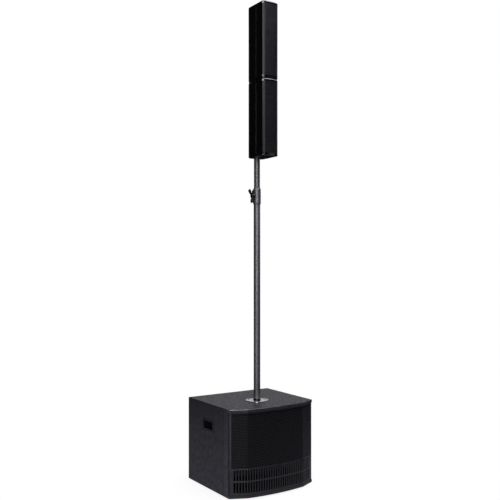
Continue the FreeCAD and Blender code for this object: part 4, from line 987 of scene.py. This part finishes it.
def collar():
    """Sleeve on the lower tube's end, tapered at both ends, with a seat for the bushing."""
    z0, z1 = COLLAR_BOTTOM_Z, COLLAR_TOP_Z
    seat = CLAMP_Z + BUSHING_SEAT_RISE
    lip_z = z1 - 0.0045
    profile = [(LOWER_TUBE_R, z0), (0.0184, z0), (0.0202, z0 + 0.008), (COLLAR_R, z0 + 0.010),
               (COLLAR_R, z1 - 0.010), (0.0202, z1 - 0.008), (0.0178, z1), (0.0166, z1), (0.0166, lip_z),
               (0.0190, lip_z), (0.0190, seat), (LOWER_TUBE_R, seat)]
    turned("collar", profile, "pole_paint", "subwoofer", "clamp_collar", 0.0008, 96)


def clamp_lug():
    """The collar's lug: a bored boss for the clamp screw between two tapered slabs."""
    bm = bmesh.new()
    boss = [(BOSS_BORE_R, 0.0200), (0.0131, 0.0165), (0.0117, LUG_REACH - 0.0006), (BOSS_R, LUG_REACH),
            (BOSS_BORE_R, LUG_REACH)]
    spin(bm, rounded_profile(boss, 0.0010), Matrix.Translation((0, POLE_Y, CLAMP_Z)) @ TO_LEFT, 64)
    half = [(0.0165, 0.0400), (LUG_REACH - 0.003, LUG_HALF_HEIGHT), (LUG_REACH, LUG_HALF_HEIGHT - 0.004),
            (LUG_REACH, 0.0095), (0.0192, 0.0095), (0.0192, 0.0330)]
    for side in (-1, 1):
        slab(bm, [(out, CLAMP_Z + side * rise) for out, rise in half],
             POLE_Y - LUG_HALF_THICKNESS, POLE_Y + LUG_HALF_THICKNESS)
    lug = solid("clamp_lug", bm, "satin_black", "subwoofer", "clamp_collar")
    soften(lug, 0.0012)


def slab(bm, outline, y0, y1):
    """Prism across the clamp over a closed outline of (distance out, height)."""
    near = [bm.verts.new((-a, y0, z)) for a, z in outline]
    far = [bm.verts.new((-a, y1, z)) for a, z in outline]
    bm.faces.new(near)
    bm.faces.new(far[::-1])
    band(bm, near, far)


def clamp_handle():
    """Wing knob: softened wings swept out of a turned hub, on the clamp screw."""
    bm = bmesh.new()
    tilt = Matrix.Rotation(math.radians(KNOB_TURN), 4, "X")
    place = Matrix.Translation((0, POLE_Y, CLAMP_Z)) @ tilt
    hub = [(0, 0.0206), (0.005, 0.0206), (0.005, 0.0295), (0.0105, 0.0295),
           (0.0115, 0.0325), (0.0100, 0.036), (0.0080, 0.0375), (0, 0.0380)]
    spin(bm, rounded_profile(hub, 0.0010), place @ TO_LEFT, 48)
    for side in (-1, 1):
        loops = [[bm.verts.new(place @ Vector((-a, half, side * r))) for a, r in wing_outline()]
                 for half in (-WING_HALF_THICKNESS, WING_HALF_THICKNESS)]
        bm.faces.new(loops[0])
        bm.faces.new(loops[1][::-1])
        band(bm, *loops)
    knob = solid("wing_knob", bm, "moulded_black", "clamp_handle", "clamp_knob")
    soften(knob, 0.0012)


def wing_outline():
    """Half of the wing knob in (outward, along the wing): three arcs between two straights."""
    def arc(start, middle, end):
        a, b, c = Vector(start), Vector(middle), Vector(end)
        bend = b * 2 - (a + c) / 2
        return [tuple(a * (1 - t) ** 2 + bend * 2 * t * (1 - t) + c * t ** 2)
                for t in (step / 6 for step in range(6))]
    outline = [(0.036, 0.002), (0.031, 0.002)]
    outline += arc((0.031, 0.009), (0.033, 0.021), (0.034, 0.033))
    outline += arc((0.034, 0.033), (0.0395, 0.0388), (0.0454, 0.034))
    outline += arc((0.0454, 0.034), (0.0424, 0.020), (0.036, 0.008))
    outline.append((0.036, 0.008))
    return outline


# ---- satellites ----
def rounded_outline(corners):
    """Closed plan from (x, y, radius) corners, with an arc at each."""
    out = []
    count = len(corners)
    for index, (x, y, radius) in enumerate(corners):
        here = Vector((x, y))
        before = (Vector(corners[index - 1][:2]) - here).normalized()
        after = (Vector(corners[(index + 1) % count][:2]) - here).normalized()
        half_angle = before.angle(after) / 2
        reach = radius / math.tan(half_angle)
        centre = here + (before + after).normalized() * (radius / math.sin(half_angle))
        start = here + before * reach - centre
        end = here + after * reach - centre
        turn = start.angle_signed(end)
        for step in range(CORNER_POINTS):
            spoke = start.copy()
            spoke.rotate(Matrix.Rotation(-turn * step / (CORNER_POINTS - 1), 2))
            out.append((centre.x + spoke.x, centre.y + spoke.y))
    return out


def satellite_plan(grow):
    """Plan of a satellite with a straight front, grown by a distance."""
    half = SATELLITE_HALF + grow
    front = SATELLITE_FRONT_Y - grow
    rear = SATELLITE_REAR_Y + grow
    chamfer = SATELLITE_CHAMFER + grow * CHAMFER_GROWTH
    flat = half - chamfer
    rounding = SATELLITE_REAR_ROUNDING + grow
    edge = 0.0015
    return rounded_outline([(half, rear, rounding), (-half, rear, rounding), (-half, front + chamfer, edge),
                            (-flat, front, edge), (flat, front, edge), (half, front + chamfer, edge)])


def with_front_arc(plan, bow):
    """Add points along the straight front between its two corners, bowed forward."""
    front = min(y for _, y in plan)
    out = []
    count = len(plan)
    for index, (x, y) in enumerate(plan):
        out.append((x, y))
        x1, y1 = plan[(index + 1) % count]
        if abs(y - front) < 1e-6 and abs(y1 - front) < 1e-6 and abs(x1 - x) > 0.05:
            for step in range(1, 24):
                t = step / 24
                out.append((x + (x1 - x) * t, front - bow * 4 * t * (1 - t)))
    return out


def end_caps(name, bottom):
    """Moulded caps: vertical sides, then a rounded shoulder in to the flat end."""
    bm = bmesh.new()
    levels = [(0.0, 0.0)]
    for step in range(6):
        angle = math.radians(90 * step / 6)
        levels.append((-CAP_CHAMFER * (1 - math.cos(angle)),
                       CAP_HEIGHT - CAP_SHOULDER * (1 - math.sin(angle))))
    levels += [(-CAP_CHAMFER, CAP_HEIGHT), (-CAP_CHAMFER - 0.004, CAP_HEIGHT)]
    for inner_z, outward in ((bottom + CAP_HEIGHT, -1), (bottom + SATELLITE_HEIGHT - CAP_HEIGHT, 1)):
        rings = []
        for grow, rise in levels:
            plan = with_front_arc(satellite_plan(grow), SATELLITE_BOW)
            rings.append([bm.verts.new((x, y, inner_z + outward * rise)) for x, y in plan])
        for low, high in zip(rings, rings[1:]):
            band(bm, low, high)
        bm.faces.new(rings[0][::-1])
        if name == "lower" and outward < 0:
            socket_mouth(bm, rings[-1], inner_z + outward * CAP_HEIGHT)
        else:
            bm.faces.new(rings[-1])
    solid(name + "_end_caps", bm, "gloss_black", "column",
          name + "_satellite_caps")


def socket_mouth(bm, rim, z):
    """Close the bottom cap's flat face around the pole socket."""
    centre = Vector((0, POLE_Y, z))
    ring = [bm.verts.new(centre + (vert.co - centre).normalized() * SOCKET_R) for vert in rim]
    inside = [bm.verts.new(v.co + Vector((0, 0, CAP_HEIGHT - 0.0002))) for v in ring]
    band(bm, rim, ring)
    band(bm, ring, inside)


def cabinet_skin(name, bottom):
    """Extruded cabinet: front and rear halves meet at a small step in each side."""
    wall = 0.004
    z0 = bottom + CAP_HEIGHT
    z1 = bottom + SATELLITE_HEIGHT - CAP_HEIGHT
    flat = SATELLITE_HALF - SATELLITE_CHAMFER
    front_half = SATELLITE_HALF - SHELL_STEP
    front = SATELLITE_FRONT_Y
    rear = SATELLITE_REAR_Y
    step_y = front + STEP_BACK
    outer = open_path([(flat - 0.001, front, 0.0003),
                       (front_half, front + SATELLITE_CHAMFER - SHELL_STEP, 0.0015),
                       (front_half, step_y, 0.0001), (SATELLITE_HALF, step_y, 0.0013),
                       (SATELLITE_HALF, rear, SATELLITE_REAR_ROUNDING)])
    inner = open_path([(flat - 0.001, front + wall, 0.0003),
                       (front_half - wall, front + SATELLITE_CHAMFER, 0.001),
                       (front_half - wall, rear - wall, SATELLITE_REAR_ROUNDING - wall)])
    right = outer + [(0.0, rear)]
    right_inner = inner + [(0.0, rear - wall)]
    path = [(-x, y) for x, y in right] + [(x, y) for x, y in right[-2::-1]]
    path_inner = [(-x, y) for x, y in right_inner] + [(x, y) for x, y in right_inner[-2::-1]]
    bm = extruded(bmesh.new(), path + path_inner[::-1], z0, z1)
    solid(name + "_cabinet", bm, "satin_black", "column",
          name + "_satellite_cabinet")


def open_path(corners):
    """Open plan path: the first point stays, and each later corner gets its arc."""
    end = (0.0, corners[-1][1], 0.0001)
    closed = rounded_outline(corners + [end, (0.0, corners[0][1], 0.0001)])
    return [corners[0][:2]] + closed[CORNER_POINTS:CORNER_POINTS * len(corners)]


def satellite_grille(name, bottom):
    z0 = bottom + CAP_HEIGHT
    z1 = bottom + SATELLITE_HEIGHT - CAP_HEIGHT
    half = SATELLITE_HALF - SATELLITE_CHAMFER - 0.00125
    sheet = Sheet(on_satellite(half), SATELLITE_SHEET)
    perforate(sheet, half, z0, z1, SATELLITE_HOLE_PITCH, SATELLITE_HOLE_R, SATELLITE_MARGIN,
              SATELLITE_MARGIN, SATELLITE_RECESS)
    for side in (-1, 1):
        fold_back(sheet, side * half, z0, z1)
    piece(name + "_grille", sheet.mesh(name + "_grille"), "grille_steel", "column",
          name + "_satellite_grille")


def fold_back(sheet, edge, z0, z1):
    """The sheet's folded side, running back to the drivers' board."""
    inward = -math.copysign(SATELLITE_SHEET, edge)
    x0, x1 = sorted((edge, edge + inward))
    y0, y1 = SATELLITE_FRONT_Y + SATELLITE_SHEET, SATELLITE_FRONT_Y + 0.014
    corners = [(x0, y0), (x1, y0), (x1, y1), (x0, y1)]
    extruded(sheet.bm, corners, z0, z1)


# ---- amplifier panel ----
def level_knob(node, place, body):
    """Fluted knob with a skirt and a raised pointer, on its shaft."""
    x, z = place
    bm = bmesh.new()
    matrix = Matrix.Translation((x, 0, z)) @ Matrix.Rotation(math.radians(-90), 4, "X")
    shaft = [(r, PANEL_Y + along) for r, along in (
        (0, -0.015), (0.003, -0.015), (0.003, 0.001), (0.0085, 0.001), (0.0085, 0.004), (0.0065, 0.0042),
        (0, 0.0042))]
    spin(bm, rounded_profile(shaft, 0.0005), matrix, 48)
    rings = []
    for radius, along in ((0.0069, 0.0038), (0.0068, 0.0120), (0.0062, 0.0134), (0.0050, 0.0135)):
        ring = []
        for step in range(KNOB_SIDES):
            angle = 2 * math.pi * step / KNOB_SIDES
            flute = FLUTE_DEPTH * max(0.0, math.cos(FLUTES * angle)) ** 2 if along < 0.0134 else 0.0
            r = radius - flute
            spot = Vector((r * math.cos(angle), r * math.sin(angle), PANEL_Y + along))
            ring.append(bm.verts.new(matrix @ spot))
        rings.append(ring)
    for low, high in zip(rings, rings[1:]):
        band(bm, low, high)
    bm.faces.new(rings[-1])
    bm.faces.new(rings[0][::-1])
    x0, x1, y0, y1 = x - 0.0006, x + 0.0006, PANEL_Y + 0.005, PANEL_Y + 0.0139
    pointer = [(x0, y0), (x1, y0), (x1, y1), (x0, y1)]
    extruded(bm, pointer, z + 0.002, z + 0.0062)
    solid(node + "_grip", bm, "moulded_black", body, node)


# ---- build ----
camera()
studio()
floor()
paint_nodes()
subwoofer_grille()
lower_grille()
gap_shadow_seals()
foam_sheet()
subwoofer_screws()
flange()
feet()
pole()
collar()
clamp_lug()
clamp_handle()
for which, bottom_z in SATELLITE_BOTTOMS.items():
    end_caps(which, bottom_z)
    cabinet_skin(which, bottom_z)
    satellite_grille(which, bottom_z)
for knob_name, knob_place in KNOB_PLACES.items():
    level_knob(knob_name + "_knob", knob_place, knob_name)
bpy.context.scene.view_settings.view_transform = "Standard"
